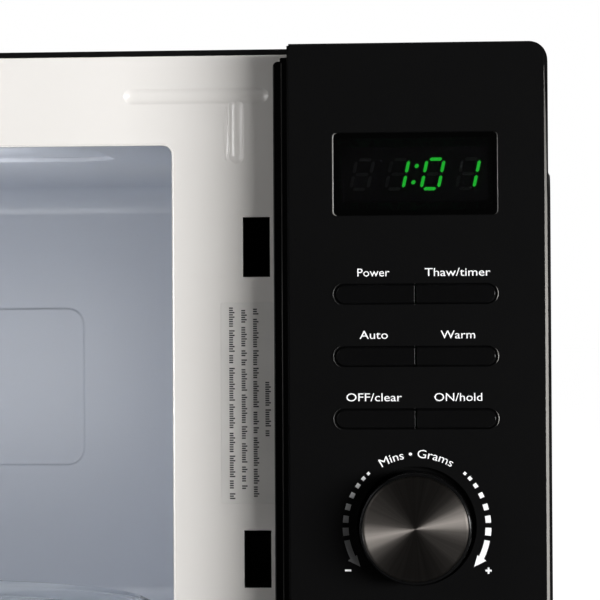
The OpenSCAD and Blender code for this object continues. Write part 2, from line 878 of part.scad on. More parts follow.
module led_display() {
    color("#1a1a1a") block([panel_cx - 27, panel_cx + 27], [display_y, board_y], [window_z - 10, window_z + 10]);
}

digit_h = 12.2;
digit_w = 5.9;
digit_pitch = 13;
digit_slant = 8;
segment_t = 1.3;

// One seven-segment digit, drawn about its centre, as (x, z)
module digit_segments() {
    half = digit_h / 4 - segment_t / 2 - 0.15;
    for (v = [-1, 0, 1])
        translate([0, v * digit_h / 2])
            square([digit_w - segment_t - 0.4, segment_t], center = true);
    for (u = [-1, 1], v = [-1, 1])
        translate([u * digit_w / 2, v * digit_h / 4])
            square([segment_t, 2 * half], center = true);
}

module led_segments() {
    lean = tan(digit_slant);
    color("#2ad43a") slab_y(display_y - 0.3, display_y)
        translate([panel_cx, window_z])
            multmatrix([[1, lean, 0, 0], [0, 1, 0, 0], [0, 0, 1, 0]]) {
                for (i = [0:3])
                    translate([(i - 1.5) * digit_pitch, 0])
                        digit_segments();
                for (v = [-1, 1])
                    translate([0, v * 2.9])
                        square([segment_t, segment_t], center = true);
            }
}

module control_board() {
    color("#1f6b3a") difference() {
        union() {
            block([panel_cx - 36, panel_cx + 36], [board_y, board_y + 1.6], [knob_z - 18, window_z + 22]);
            for (i = [0:2])
                block([panel_cx - 32 + i * 22, panel_cx - 13 + i * 22], [board_y + 1.5, board_y + 17],
                      [first_row_z + 10, first_row_z + 38]);
            block([panel_cx - 20, panel_cx + 16], [board_y + 1.5, board_y + 20], [knob_z + 30, knob_z + 62]);
        }
        for (sx = [-1, 1], z = [knob_z - 14, window_z + 18])
            rod_y(panel_cx + sx * 32, board_y - 1, z, 1.6, 4);
    }
}

button_gap = 0.7;
stem_x = pair_w / 4;

module tact_switches() {
    color("#26282a") for (side = [-1, 1], row = [0:2]) {
        z = first_row_z - row * row_pitch;
        x = panel_cx + side * stem_x;
        difference() {
            block([x - 3, x + 3], [board_y - 3.5, board_y], [z - 3, z + 3]);
            rod_y(x, board_y - 4, z, 1.75 + slack, 3.4);
        }
    }
}

module encoder_body() {
    color("#8f9296") difference() {
        union() {
            block([panel_cx - 6.5, panel_cx + 6.5], [face_y + 6, board_y], [knob_z - 6.5, knob_z + 6.5]);
            rod_y(panel_cx, face_y + 3, knob_z, 3.8, 3.5);
        }
        rod_y(panel_cx, face_y + 2, knob_z, shaft_r + slack, 9);
    }
}

// One button: side is -1 for the left of a pair and 1 for the right
module button(side, row) {
    z = first_row_z - row * row_pitch;
    proud = 0.7;
    ease = 0.5;
    r = button_h / 2;
    inner = button_gap / 2;
    outer = pair_w / 2;
    color("#141414") translate([panel_cx, 0, z]) mirror([side < 0 ? 1 : 0, 0, 0]) {
        difference() {
            union() {
                slab_y(face_y - proud + ease, face_y + 4)
                    stadium(pair_w, button_h);
                slab_x(-outer + r, outer - r)
                    polygon([
                        [face_y - proud + ease, r], [face_y - proud, r - ease],
                        [face_y - proud, ease - r], [face_y - proud + ease, -r],
                    ]);
                translate([outer - r, face_y - proud + ease, 0])
                    rotate([90, 0, 0])
                        cylinder(h = ease, r1 = r, r2 = r - ease);
            }
            block([-far, inner], [face_y - 5, face_y + 8], [-far, far]);
        }
        block([inner, outer + 1], [face_y + panel_wall + 0.1, face_y + panel_wall + 1.1], [-r - 1, r + 1]);
        rod_y(stem_x, face_y + 3, 0, 1.75, board_y - 1.9 - face_y - 3);
    }
}

module button_micro() { button(-1, 0); }
module button_defrost() { button(1, 0); }
module button_menu() { button(-1, 1); }
module button_reheat() { button(1, 1); }
module button_stop() { button(-1, 2); }
module button_start() { button(1, 2); }

// Turned about the knob's axis: the profile is drawn as (radius, height above the panel's face)
module at_knob() {
    translate([panel_cx, face_y, knob_z])
        rotate([90, 0, 0])
            children();
}

cap_r = knob_r - 1.1;

module knob_body() {
    fillet = 0.8;
    color("#151515") at_knob() difference() {
        rotate_extrude($fn = 96) {
            translate([0, -2.6])
                square([knob_r, knob_h + 2.6 - fillet]);
            square([knob_r - fillet, knob_h]);
            translate([knob_r - fillet, knob_h - fillet])
                circle(fillet);
        }
        translate([0, 0, knob_h - 1.2])
            cylinder(h = 2, r = cap_r);
        translate([0, 0, -3])
            cylinder(h = knob_h - 4, r = shaft_r + slack);
    }
}

module knob_cap() {
    bevel = 0.8;
    color("#54504b") at_knob() rotate_extrude($fn = 96)
        polygon([
            [0, knob_h - 1.2], [cap_r - 0.05, knob_h - 1.2], [cap_r - 0.05, knob_h - 0.2],
            [cap_r - bevel, knob_h + 0.4], [0, knob_h + 0.4],
        ]);
}

module encoder_shaft() {
    color("#c9cbcd") rod_y(panel_cx, face_y - knob_h + 7.2, knob_z, shaft_r, knob_h + 2);
}

plunger_y1 = front_y + 25.7;

module door_release_button() {
    proud = 0.5;
    ease = 1;
    half = [release_w / 2, release_h / 2];
    color("#131313") translate([panel_cx, 0, release_z]) difference() {
        union() {
            intersection() {
                slab_y(face_y - proud, face_y + 12)
                    rounded_rect([-half[0], half[0]], [-half[1], half[1]], 1.7);
                slab_z(-half[1] - 1, half[1] + 1)
                    polygon([
                        [ease - half[0], face_y - proud], [half[0] - ease, face_y - proud],
                        [half[0], face_y - proud + ease], [half[0], face_y + 13],
                        [-half[0], face_y + 13], [-half[0], face_y - proud + ease],
                    ]);
            }
            for (u = [-1, 1])
                block([u * half[0] - 2, u * half[0] + 2], [face_y + panel_wall + 0.2, face_y + 6], [-6, 6]);
            block([plunger_x - 3.5, plunger_x + 3.5], [face_y + 2, plunger_y1], [4.5, 7]);
            block([plunger_x - 3.5, plunger_x + 3.5], [face_y + 2, face_y + 30], [-7, 7]);
        }
        block([-half[0] + 2, plunger_x - 5], [face_y + 2.2, face_y + 14], [-half[1] + 2, half[1] - 2]);
        block([plunger_x + 5, half[0] - 2], [face_y + 2.2, face_y + 14], [-half[1] + 2, half[1] - 2]);
    }
}

// ---------------------------------------------------------------- latch

plunger_x = -19;
pivot_y = front_y + 30;
pivot_z = release_z - 19;
finger_x = [latch_x + 0.3, latch_x + 4.9];
pad_x = [panel_cx + plunger_x - 3.5, panel_cx + plunger_x + 3.5];

module release_lever() {
    color("#d9d9d4") {
        rod_x(finger_x[0], pivot_y, pivot_z, 4, pad_x[1] - finger_x[0]);
        rod_x(finger_x[0] - 4, pivot_y, pivot_z, 2, 5);
        block(pad_x, [pivot_y - 4, pivot_y], [pivot_z, pivot_z + 28]);
        block(finger_x, [pivot_y - 24, pivot_y], [pivot_z - 3, pivot_z + 2]);
        block(finger_x, [pivot_y - 24, pivot_y - 19], [pivot_z - 3, lower_hook_base - 1]);
    }
}

hook_drop = 8;
lower_hook_base = hook_z[1] - hook_drop;

module latch_housing_shape() {
    x = [latch_x - 13, latch_x + 11];
    y = [plate_back_y, plate_back_y + 2.5];
    difference() {
        union() {
            block(x, y, [pivot_z - 8, upper_slot[1] + 10]);
            for (slot = [upper_slot, lower_slot])
                block([latch_x - slot_w / 2 - 2.2, latch_x + slot_w / 2 + 2.2], [y[0], y[0] + 20],
                      [slot[0] - 2, slot[1] + 2.2]);
            block([finger_x[0] - 3.6, finger_x[0] - 1], [y[0], pivot_y + 6], [pivot_z - 6, pivot_z + 6]);
            block([finger_x[1] + 1.5, finger_x[1] + 4.5], [y[0], pivot_y + 8], [pivot_z - 8, pivot_z + 8]);
        }
        for (slot = [upper_slot, lower_slot])
            block([latch_x - slot_w / 2, latch_x + slot_w / 2], [y[0] - 1, y[0] + 30], [slot[0] + 0.5, slot[1]]);
        rod_x(finger_x[0] - 5, pivot_y, pivot_z, 2 + slack, 5);
        rod_x(finger_x[1] + 0.5, pivot_y, pivot_z, 4 + slack, 6);
        block([finger_x[0] - 0.5, finger_x[1] + 0.5], [y[0] + 2.5, y[0] + 30], [pivot_z - 20, lower_slot[0] + 1]);
        block([finger_x[0] - 0.5, finger_x[1] + 0.5], [y[0] - 1, y[0] + 30], [pivot_z - 5, lower_slot[0] + 1]);
    }
}

// The housing is built up from plain walls that meet at the slots' edges
module latch_housing() {
    color("#141414") for (
        region = [
            [[-far, far], [0, lower_slot[0] + 0.5]],
            [[-far, latch_x], [lower_slot[0] + 0.5, lower_slot[1]]],
            [[latch_x, far], [lower_slot[0] + 0.5, lower_slot[1]]],
            [[-far, far], [lower_slot[1], upper_slot[0] + 0.5]],
            [[-far, latch_x], [upper_slot[0] + 0.5, upper_slot[1]]],
            [[latch_x, far], [upper_slot[0] + 0.5, upper_slot[1]]],
            [[-far, far], [upper_slot[1], far]],
        ]
    )
        intersection() {
            latch_housing_shape();
            seamed_block(region[0], [-far, far], region[1]);
        }
    // Blind behind the upper slot, which keeps the machine compartment out of sight
    blind_y = plate_back_y + 20.004;
    color("#141414")
        block([latch_x - slot_w / 2 - 2.2, latch_x + slot_w / 2 + 2.2], [blind_y, blind_y + 1.5],
              [upper_slot[0] - 2, upper_slot[1] + 2.2]);
}

module interlock_switches() {
    x = latch_x + 11;
    color("#232323") for (z = [lower_slot[0] - 2, (lower_slot[1] + upper_slot[0]) / 2 - 12, upper_slot[0] - 2])
        difference() {
            block([x, x + 10.3], [plate_back_y + 4, plate_back_y + 20], [z, z + 27.8]);
            for (dz = [3, 25])
                rod_x(x - 1, plate_back_y + 8, z + dz, 1.6, 14);
        }
}

module at_door() {
    at_hinge(-door_open)
        children();
}

latch_bar_x = [latch_x - 2.7, latch_x + 2.7];
latch_bar_y = [door_back_y - 19, door_back_y - 11];

module door_latch() {
    color("#1b1b1b") at_door() {
        block(latch_bar_x, latch_bar_y, [hook_z[1] - 12, hook_z[0] + 16]);
        for (z = hook_z)
            slab_x(latch_bar_x[0], latch_bar_x[1])
                polygon([
                    [latch_bar_y[1] - 1, z - 4], [front_y + 5, z - 4], [front_y + 5, z - hook_drop],
                    [front_y + 9, z - hook_drop], [front_y + 14, z - 2], [front_y + 14, z + 1],
                    [front_y + 11, z + 4], [latch_bar_y[1] - 1, z + 4],
                ]);
    }
}

spring_z = [hook_z[0] + 16, hook_z[0] + 42];
spring_y = (latch_bar_y[0] + latch_bar_y[1]) / 2;

// Ring of points round a coil's wire, at one place along the coil
function coil_ring(turn, r, wire, pitch, sides) = [
    for (i = [0:sides - 1])
        let (across = r + wire * cos(360 * i / sides))
            [across * cos(360 * turn), across * sin(360 * turn), pitch * turn + wire * sin(360 * i / sides)],
];

module coil(r, wire, length, turns) {
    sides = 8;
    steps = turns * 12;
    pitch = (length - 2 * wire) / turns;
    points = [for (s = [0:steps]) each coil_ring(s / 12, r, wire, pitch, sides)];
    walls = [
        for (s = [0:steps - 1], i = [0:sides - 1])
            let (here = s * sides, next = here + sides, j = (i + 1) % sides)
                each [[here + i, here + j, next + j], [here + i, next + j, next + i]],
    ];
    first = [[for (i = [0:sides - 1]) sides - 1 - i]];
    last = [[for (i = [0:sides - 1]) steps * sides + i]];
    translate([0, 0, wire])
        polyhedron(points, concat(first, walls, last));
}

module latch_spring() {
    color("#b8babc") at_door()
        translate([latch_x, spring_y, spring_z[0]])
            coil(1.9, 0.4, spring_z[1] - spring_z[0], 7);
}

// ---------------------------------------------------------------- hinges and door

module hinge(lug_z, flange_z, pin_z) {
    color("#bfc1c3") {
        slab_z(lug_z[0], lug_z[1]) {
            translate([hinge_x - 6, hinge_y])
                square([12, plate_back_y + 2 - hinge_y]);
            translate([hinge_x, hinge_y])
                circle(6);
        }
        block([hinge_x - 6, hinge_x + 6], [plate_back_y, plate_back_y + 2], flange_z);
        translate([hinge_x, hinge_y, pin_z[0]])
            cylinder(h = pin_z[1] - pin_z[0], r = hinge_pin_r);
    }
}

module hinge_upper() {
    hinge([lug_top - lug_t, lug_top], [lug_top - 38, lug_top], [lug_top - lug_t - 13, lug_top]);
}

module hinge_lower() {
    hinge([lug_bottom, lug_bottom + lug_t], [lug_bottom, lug_bottom + 38], [lug_bottom, lug_bottom + lug_t + 13]);
}

glass_x = [left_x + 40, door_x1 - 42];
glass_z = [bottom_z + 33, top_z - 35];
glass_t = 3.2;

// Door outline in plan, as (x, y): rounded about the hinge axis, notched beside the control panel
module door_plan() {
    r = 3;
    step_y = front_y - 25;
    translate([left_x + r, face_y])
        square([door_x1 - left_x - 2 * r, step_y - face_y]);
    translate([left_x, face_y + r])
        square([door_x1 - left_x, step_y - face_y - r]);
    for (u = [left_x + r, door_x1 - r])
        translate([u, face_y + r])
            circle(r);
    translate([left_x, step_y])
        square([door_back_x1 - left_x, hinge_y - step_y]);
    translate([hinge_x, hinge_y - 1])
        square([door_back_x1 - hinge_x, hinge_side + 1]);
    translate([hinge_x + 5, hinge_y - 1])
        square([door_back_x1 - hinge_x - 5, door_back_y - hinge_y + 1]);
    translate([hinge_x, hinge_y])
        circle(hinge_side);
}

module door_frame() {
    wall = 2.5;
    rebate = face_y + glass_t + 0.4;
    pocket_y = rebate + 1.4;
    color("#101010") at_door() difference() {
        intersection() {
            slab_z(face_z0, face_z1)
                door_plan();
            slab_y(face_y - 1, front_y)
                rounded_rect([left_x, door_x1], [face_z0, face_z1], 5.2);
        }
        slab_y(face_y - 1, rebate)
            rounded_rect([glass_x[0] - 0.2, glass_x[1] + 0.2], [glass_z[0] - 0.2, glass_z[1] + 0.2], 6.2);
        slab_y(face_y - 1, pocket_y + 1)
            rounded_rect([glass_x[0] + 10, glass_x[1] - 10], [glass_z[0] + 10, glass_z[1] - 10], 4);
        block([door_pocket_x0, door_pocket_x1], [pocket_y, front_y + 1], [face_z0 + wall, face_z1 - wall]);
        for (z = [[lug_top - lug_t - 0.4, top_z], [0, lug_bottom + lug_t + 0.4]])
            translate([hinge_x, hinge_y, z[0]])
                cylinder(h = z[1] - z[0], r = 14.5);
        translate([hinge_x, hinge_y, lug_top - lug_t - 15])
            cylinder(h = 20, r = hinge_pin_r + slack);
        translate([hinge_x, hinge_y, lug_bottom])
            cylinder(h = lug_t + 15, r = hinge_pin_r + slack);
    }
    color("#101010") at_door() {
        block([latch_bar_x[0] - 2, door_pocket_x1], [pocket_y - 0.5, door_back_y - 4], [spring_z[1], spring_z[1] + 2.5]);
        block([latch_bar_x[0] - 1.8, latch_bar_x[0] - 0.1], [pocket_y - 0.5, latch_bar_y[1]],
              [hook_z[1] + 30, hook_z[1] + 50]);
    }
}

module door_glass() {
    color("#1a1c1e", 0.6) at_door()
        slab_y(face_y + 0.3, face_y + 0.3 + glass_t)
            rounded_rect(glass_x, glass_z, 6);
}

sheet_x = [cavity_x0 - 5.1, cavity_x1 + 6.9];
sheet_z = [cavity_z0 - 6.9, cavity_z1 + 6.9];
sheet_y = door_back_y - 0.1;
view_x = [cavity_x0 + 36, cavity_x1 - 36];
view_z = [cavity_z0 + 30, cavity_z1 - 30];

module door_inner_panel() {
    choke_y = door_back_y - 19.5;
    color("#e6e3de") at_door() difference() {
        union() {
            slab_y(sheet_y - sheet_t, sheet_y)
                rounded_rect(sheet_x, sheet_z, 5);
            slab_y(choke_y, sheet_y - sheet_t) difference() {
                rounded_rect(sheet_x, sheet_z, 5);
                rounded_rect([sheet_x[0] + sheet_t, sheet_x[1] - sheet_t],
                             [sheet_z[0] + sheet_t, sheet_z[1] - sheet_t], 5 - sheet_t);
            }
            slab_y(choke_y - sheet_t, choke_y) difference() {
                rounded_rect([door_pocket_x0 + 0.3, latch_bar_x[0] - 2.4], [face_z0 + 3, face_z1 - 3], 5);
                rounded_rect([sheet_x[0] + sheet_t, sheet_x[1] - sheet_t],
                             [sheet_z[0] + sheet_t, sheet_z[1] - sheet_t], 5 - sheet_t);
            }
        }
        slab_y(sheet_y - 5, sheet_y + 1)
            rounded_rect(view_x, view_z, 6);
    }
}

module door_screen() {
    color("#2a2a2a") at_door()
        slab_y(sheet_y - sheet_t - 0.5, sheet_y - sheet_t)
            rounded_rect([view_x[0] - 8, view_x[1] + 8], [view_z[0] - 8, view_z[1] + 8], 8);
}

module door_inner_film() {
    color("#d0d4d6", 0.3) at_door()
        slab_y(sheet_y, sheet_y + 0.3)
            rounded_rect([view_x[0] - 6, view_x[1] + 6], [view_z[0] - 6, view_z[1] + 6], 8);
}

module door_choke_cover() {
    color("#1d1d1d") at_door() difference() {
        slab_y(door_back_y - 3, sheet_y)
            rounded_rect([door_pocket_x0 + 0.2, door_pocket_x1 - 0.2], [face_z0 + 2.8, face_z1 - 2.8], 3);
        slab_y(door_back_y - 4, door_back_y + 1)
            rounded_rect([sheet_x[0] - 0.3, sheet_x[1] + 0.3], [sheet_z[0] - 0.3, sheet_z[1] + 0.3], 5.3);
        for (z = hook_z)
            block([latch_bar_x[0] - 0.8, latch_bar_x[1] + 0.6], [door_back_y - 5, door_back_y + 2],
                  [z - hook_drop - 1.5, z + hook_drop + 1.5]);
    }
}

outer_cover();
base_plate();
rear_panel();
front_plate();
cavity_liner();
waveguide();
waveguide_cover();
control_panel();
display_window();
led_display();
led_segments();
control_board();
tact_switches();
encoder_body();
magnetron();
hv_transformer_core();
hv_transformer_windings();
hv_capacitor();
hv_diode();
fan_shroud();
fan_motor();
air_duct();
turntable_motor();
oven_lamp();
thermal_cutout();
filter_board();
latch_housing();
interlock_switches();
cord_gland();
feet();
cabinet_screws();
hinge_upper();
hinge_lower();
button_micro();
button_defrost();
button_menu();
button_reheat();
button_stop();
button_start();
knob_body();
knob_cap();
encoder_shaft();
door_release_button();
release_lever();
fan_blade();
drive_coupler();
glass_plate();
roller_ring();
roller_1();
roller_2();
roller_3();
door_frame();
door_glass();
door_inner_panel();
door_screen();
door_inner_film();
door_choke_cover();
door_latch();
latch_spring();
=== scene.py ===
"""Looks of the countertop microwave oven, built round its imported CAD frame. All lengths are in metres."""

import math

import bmesh
import bpy
from mathutils import Matrix, Vector


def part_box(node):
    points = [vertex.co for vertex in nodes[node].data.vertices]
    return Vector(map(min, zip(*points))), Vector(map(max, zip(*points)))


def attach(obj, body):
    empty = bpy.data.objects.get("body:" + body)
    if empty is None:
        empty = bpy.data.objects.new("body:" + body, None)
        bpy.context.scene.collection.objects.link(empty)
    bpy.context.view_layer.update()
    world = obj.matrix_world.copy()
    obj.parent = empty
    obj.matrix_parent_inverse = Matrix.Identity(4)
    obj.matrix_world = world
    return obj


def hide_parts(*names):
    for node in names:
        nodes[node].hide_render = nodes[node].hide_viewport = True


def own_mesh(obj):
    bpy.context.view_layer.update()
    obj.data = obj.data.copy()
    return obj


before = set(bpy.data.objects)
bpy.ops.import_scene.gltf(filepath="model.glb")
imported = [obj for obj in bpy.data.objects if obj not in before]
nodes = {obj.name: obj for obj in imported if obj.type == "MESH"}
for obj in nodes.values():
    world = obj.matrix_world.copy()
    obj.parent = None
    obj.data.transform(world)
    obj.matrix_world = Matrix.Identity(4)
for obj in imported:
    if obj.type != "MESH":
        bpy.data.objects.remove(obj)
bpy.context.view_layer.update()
MM = 0.001


# ---------------------------------------------------------------- places, worked out from the frame

def middle(node):
    low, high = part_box(node)
    return (low + high) / 2


plate_low, plate_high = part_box("front_plate")
panel_low, panel_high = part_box("control_panel")
lens_low, lens_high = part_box("display_window")
knob_low, knob_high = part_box("knob_body")
PLATE_Y = plate_low.y
FACE_Y = panel_low.y
FACE_CENTRE_X = (lens_low.x + lens_high.x) / 2
KNOB_X = (knob_low.x + knob_high.x) / 2
KNOB_Z = (knob_low.z + knob_high.z) / 2


# ---------------------------------------------------------------- materials

class Maker:
    """One procedural material, with short calls for the nodes that most of them share."""

    def __init__(self, name, color, roughness, metallic=0.0, **sockets):
        self.name = name
        self.material = bpy.data.materials.new(name + "_finish")
        self.material.use_nodes = True
        self.tree = self.material.node_tree
        self.shader = next(n for n in self.tree.nodes if n.type == "BSDF_PRINCIPLED")
        self.set("Base Color", (*color, 1.0))
        self.set("Roughness", roughness)
        self.set("Metallic", metallic)
        for key, value in sockets.items():
            self.set(key.replace("_", " "), value)
        self.place = self.node("ShaderNodeTexCoord").outputs["Object"]

    def set(self, socket, value):
        self.shader.inputs[socket].default_value = value

    def node(self, kind, **values):
        made = self.tree.nodes.new(kind)
        for key, value in values.items():
            setattr(made, key, value)
        return made

    def link(self, source, target):
        self.tree.links.new(source, target)

    def stretched(self, scale):
        mapping = self.node("ShaderNodeMapping")
        mapping.inputs["Scale"].default_value = scale
        self.link(self.place, mapping.inputs["Vector"])
        return mapping.outputs["Vector"]

    def noise(self, scale, detail=2.0, rough=0.5, stretch=None):
        made = self.node("ShaderNodeTexNoise")
        made.inputs["Scale"].default_value = scale
        made.inputs["Detail"].default_value = detail
        made.inputs["Roughness"].default_value = rough
        self.link(self.stretched(stretch) if stretch else self.place, made.inputs["Vector"])
        return made.outputs["Fac"]

    def cells(self, scale, feature="F1", output="Color"):
        made = self.node("ShaderNodeTexVoronoi", feature=feature)
        made.inputs["Scale"].default_value = scale
        self.link(self.place, made.inputs["Vector"])
        return made.outputs[output]

    def bands(self, scale, direction="Z", distortion=0.0):
        made = self.node("ShaderNodeTexWave", bands_direction=direction)
        made.inputs["Scale"].default_value = scale
        made.inputs["Distortion"].default_value = distortion
        self.link(self.place, made.inputs["Vector"])
        return made.outputs["Fac"]

    def between(self, factor, low, high):
        made = self.node("ShaderNodeMapRange")
        made.inputs["To Min"].default_value = low
        made.inputs["To Max"].default_value = high
        self.link(factor, made.inputs["Value"])
        return made.outputs["Result"]

    def sharpened(self, factor, low, high):
        made = self.node("ShaderNodeMapRange")
        made.inputs["From Min"].default_value = low
        made.inputs["From Max"].default_value = high
        self.link(factor, made.inputs["Value"])
        return made.outputs["Result"]

    def tint(self, factor, color_a, color_b):
        made = self.node("ShaderNodeMix", data_type="RGBA")
        self.link(factor, made.inputs["Factor"])
        made.inputs["A"].default_value = (*color_a, 1.0)
        made.inputs["B"].default_value = (*color_b, 1.0)
        self.link(made.outputs["Result"], self.shader.inputs["Base Color"])
        return made

    def gloss(self, factor, low, high):
        self.link(self.between(factor, low, high), self.shader.inputs["Roughness"])

    def bump(self, height, depth, under=None):
        made = self.node("ShaderNodeBump")
        made.inputs["Strength"].default_value = 1.0
        made.inputs["Distance"].default_value = depth
        self.link(height, made.inputs["Height"])
        if under:
            self.link(under, made.inputs["Normal"])
        self.link(made.outputs["Normal"], self.shader.inputs["Normal"])
        return made.outputs["Normal"]

    def rounded(self, radius):
        """Rounds sharp edges in the shading, and returns the normal for a bump to start from."""
        made = self.node("ShaderNodeBevel", samples=4)
        made.inputs["Radius"].default_value = radius
        self.link(made.outputs["Normal"], self.shader.inputs["Normal"])
        return made.outputs["Normal"]


def shades(color, amount):
    """A darker and a lighter neighbour of a colour."""
    return tuple(c * (1 - amount) for c in color), tuple(min(1.0, c * (1 + amount)) for c in color)


def powder_coat():
    made = Maker("cabinet_paint", (0.002, 0.002, 0.002), 0.5, Specular_IOR_Level=0.08)
    grain = made.noise(1400, 3.0, 0.6)
    made.tint(made.noise(60), (0.0016, 0.0016, 0.0017), (0.0026, 0.0026, 0.0027))
    made.gloss(made.noise(300), 0.42, 0.58)
    made.bump(grain, 0.00008, made.rounded(0.0004))
    return made


def cream_paint():
    cream = (0.80, 0.775, 0.745)
    made = Maker("front_paint", cream, 0.22, Coat_Weight=0.6, Coat_Roughness=0.06)
    made.tint(made.noise(18), *shades(cream, 0.012))
    made.gloss(made.noise(120), 0.18, 0.28)
    made.bump(made.noise(260, 1.0), 0.000012, made.rounded(0.0005))
    return made


def cavity_enamel():
    pale_blue = (0.66, 0.69, 0.75)
    made = Maker("cavity_paint", pale_blue, 0.30, Specular_IOR_Level=0.8)
    made.tint(made.noise(22), *shades(pale_blue, 0.02))
    made.gloss(made.noise(400), 0.25, 0.36)
    made.bump(made.noise(700, 2.0), 0.00002, made.rounded(0.0015))
    return made


def galvanised():
    made = Maker("galvanised", (0.55, 0.56, 0.57), 0.38, 1.0)
    spangle = made.cells(110)
    made.tint(made.between(spangle, 0.2, 0.8), (0.47, 0.48, 0.50), (0.62, 0.63, 0.64))
    made.gloss(spangle, 0.28, 0.48)
    made.bump(made.noise(900), 0.00002, made.rounded(0.0002))
    return made


def brushed(name, color, roughness, stretch):
    made = Maker(name, color, roughness, 1.0, Anisotropic=0.4)
    lines = made.noise(1.0, 3.0, 0.6, stretch)
    made.tint(lines, *shades(color, 0.08))
    made.gloss(lines, roughness * 0.8, roughness * 1.25)
    made.bump(lines, 0.00001, made.rounded(0.0002))
    return made


def moulded(name, color, roughness, grain_size=1600, grain_depth=0.00005, edge=0.0003, **sockets):
    made = Maker(name, color, roughness, **sockets)
    made.tint(made.noise(45), *shades(color, 0.10))
    made.gloss(made.noise(500), roughness * 0.9, roughness * 1.1)
    made.bump(made.noise(grain_size, 3.0, 0.6), grain_depth, made.rounded(edge))
    return made


def smoked_lens():
    made = Maker("smoked_lens", (0.16, 0.16, 0.17), 0.03, Transmission_Weight=1.0, IOR=1.49)
    made.gloss(made.noise(200), 0.02, 0.05)
    made.bump(made.noise(90, 1.0), 0.000004)
    return made


def glass(name, color, smear, ior=1.5):
    made = Maker(name, color, 0.0, Transmission_Weight=1.0, IOR=ior)
    made.gloss(made.noise(25, 3.0), 0.0, smear)
    made.bump(made.noise(12, 1.0), 0.000006)
    return made


def glow(name, color, strength):
    made = Maker(name, color, 0.4, Emission_Color=(*color, 1.0), Emission_Strength=strength)
    made.gloss(made.noise(3000), 0.3, 0.5)
    return made


def circuit_board():
    made = Maker("circuit_board", (0.02, 0.16, 0.07), 0.35)
    tracks = made.sharpened(made.cells(230, "DISTANCE_TO_EDGE", "Distance"), 0.04, 0.09)
    made.tint(tracks, (0.03, 0.24, 0.10), (0.012, 0.12, 0.05))
    made.gloss(tracks, 0.28, 0.42)
    made.bump(tracks, -0.00003)
    return made


def mica():
    made = Maker("mica", (0.62, 0.54, 0.38), 0.35, Specular_IOR_Level=0.6)
    flakes = made.cells(300)
    made.tint(made.between(flakes, 0.0, 1.0), (0.52, 0.45, 0.31), (0.70, 0.62, 0.45))
    made.gloss(flakes, 0.22, 0.5)
    made.bump(made.noise(260, 4.0), 0.00004)
    return made


def laminations():
    made = Maker("core_steel", (0.09, 0.085, 0.08), 0.5, 0.7)
    sheets = made.bands(300, "Y")
    made.tint(sheets, (0.05, 0.047, 0.044), (0.12, 0.113, 0.106))
    made.gloss(sheets, 0.38, 0.6)
    made.bump(sheets, 0.00015)
    return made


def copper():
    made = Maker("copper_wire", (0.45, 0.16, 0.06), 0.3, 0.6, Coat_Weight=0.5)
    turns = made.bands(260, "Z", 0.3)
    made.tint(turns, (0.30, 0.09, 0.03), (0.52, 0.20, 0.08))
    made.gloss(turns, 0.22, 0.42)
    made.bump(turns, 0.0003)
    return made


def rubber():
    return moulded("foot_rubber", (0.02, 0.02, 0.02), 0.8, 1100, 0.00008)


def spun_metal():
    """Face turned on a lathe: fine rings about the knob's axis, with the gloss stretched across them, and
    painted glints as random lighter and darker streaks round the axis.
    """
    darker, lighter = (0.050, 0.046, 0.042), (0.074, 0.067, 0.062)
    made = Maker("knob_metal", (0.062, 0.056, 0.052), 0.40, 1.0, Anisotropic=0.97)
    centre = made.node("ShaderNodeVectorMath", operation="SUBTRACT")
    made.link(made.place, centre.inputs[0])
    centre.inputs[1].default_value = (KNOB_X, 0.0, KNOB_Z)
    flat = made.node("ShaderNodeVectorMath", operation="MULTIPLY")
    made.link(centre.outputs[0], flat.inputs[0])
    flat.inputs[1].default_value = (1.0, 0.0, 1.0)
    radius = made.node("ShaderNodeVectorMath", operation="LENGTH")
    made.link(flat.outputs[0], radius.inputs[0])
    rings = made.node("ShaderNodeTexNoise", noise_dimensions="1D")
    rings.inputs["Scale"].default_value = 9000
    rings.inputs["Detail"].default_value = 3.0
    made.link(radius.outputs["Value"], rings.inputs["W"])
    unit = made.node("ShaderNodeVectorMath", operation="NORMALIZE")
    made.link(flat.outputs[0], unit.inputs[0])
    # Painted glints: the base colour turns lighter and darker in streaks round the axis.
    glint_streaks = made.node("ShaderNodeTexNoise")
    glint_streaks.inputs["Scale"].default_value = 9
    glint_streaks.inputs["Detail"].default_value = 4.0
    glint_streaks.inputs["Roughness"].default_value = 0.65
    made.link(unit.outputs[0], glint_streaks.inputs["Vector"])
    made.tint(made.sharpened(glint_streaks.outputs["Fac"], 0.32, 0.68), darker, lighter)
    made.gloss(rings.outputs["Fac"], 0.37, 0.43)
    made.link(unit.outputs[0], made.shader.inputs["Tangent"])
    return made


def ink(name, color):
    """Printing ink, its colour multiplied by the shade attribute that a mark's mesh may carry."""
    made = Maker(name, color, 0.5)
    speckle = made.tint(made.noise(2500), *shades(color, 0.06))
    fade = made.node("ShaderNodeAttribute", attribute_name="shade")
    scaled = made.node("ShaderNodeVectorMath", operation="SCALE")
    made.link(speckle.outputs["Result"], scaled.inputs[0])
    made.link(fade.outputs["Fac"], scaled.inputs["Scale"])
    made.link(scaled.outputs[0], made.shader.inputs["Base Color"])
    made.gloss(made.noise(900), 0.45, 0.6)
    return made


def fading_painted_highlight():
    """Painted highlight for thin edges and beads: light low down, growing duller toward the panel's top."""
    highlight_tone = (0.25, 0.24, 0.225)
    dim_highlight_tone = (0.10, 0.096, 0.09)
    fade_start, fade_end = panel_high.z - 90 * MM, panel_high.z - 20 * MM
    made = Maker("painted_highlight_bright", highlight_tone, 0.35)
    height = made.node("ShaderNodeSeparateXYZ")
    made.link(made.place, height.inputs[0])
    fade = made.sharpened(height.outputs["Z"], fade_start, fade_end)
    made.tint(fade, highlight_tone, dim_highlight_tone)
    made.gloss(made.noise(600), 0.3, 0.4)
    made.bump(made.noise(1600, 3.0, 0.6), 0.00002, made.rounded(0.0002))
    return made


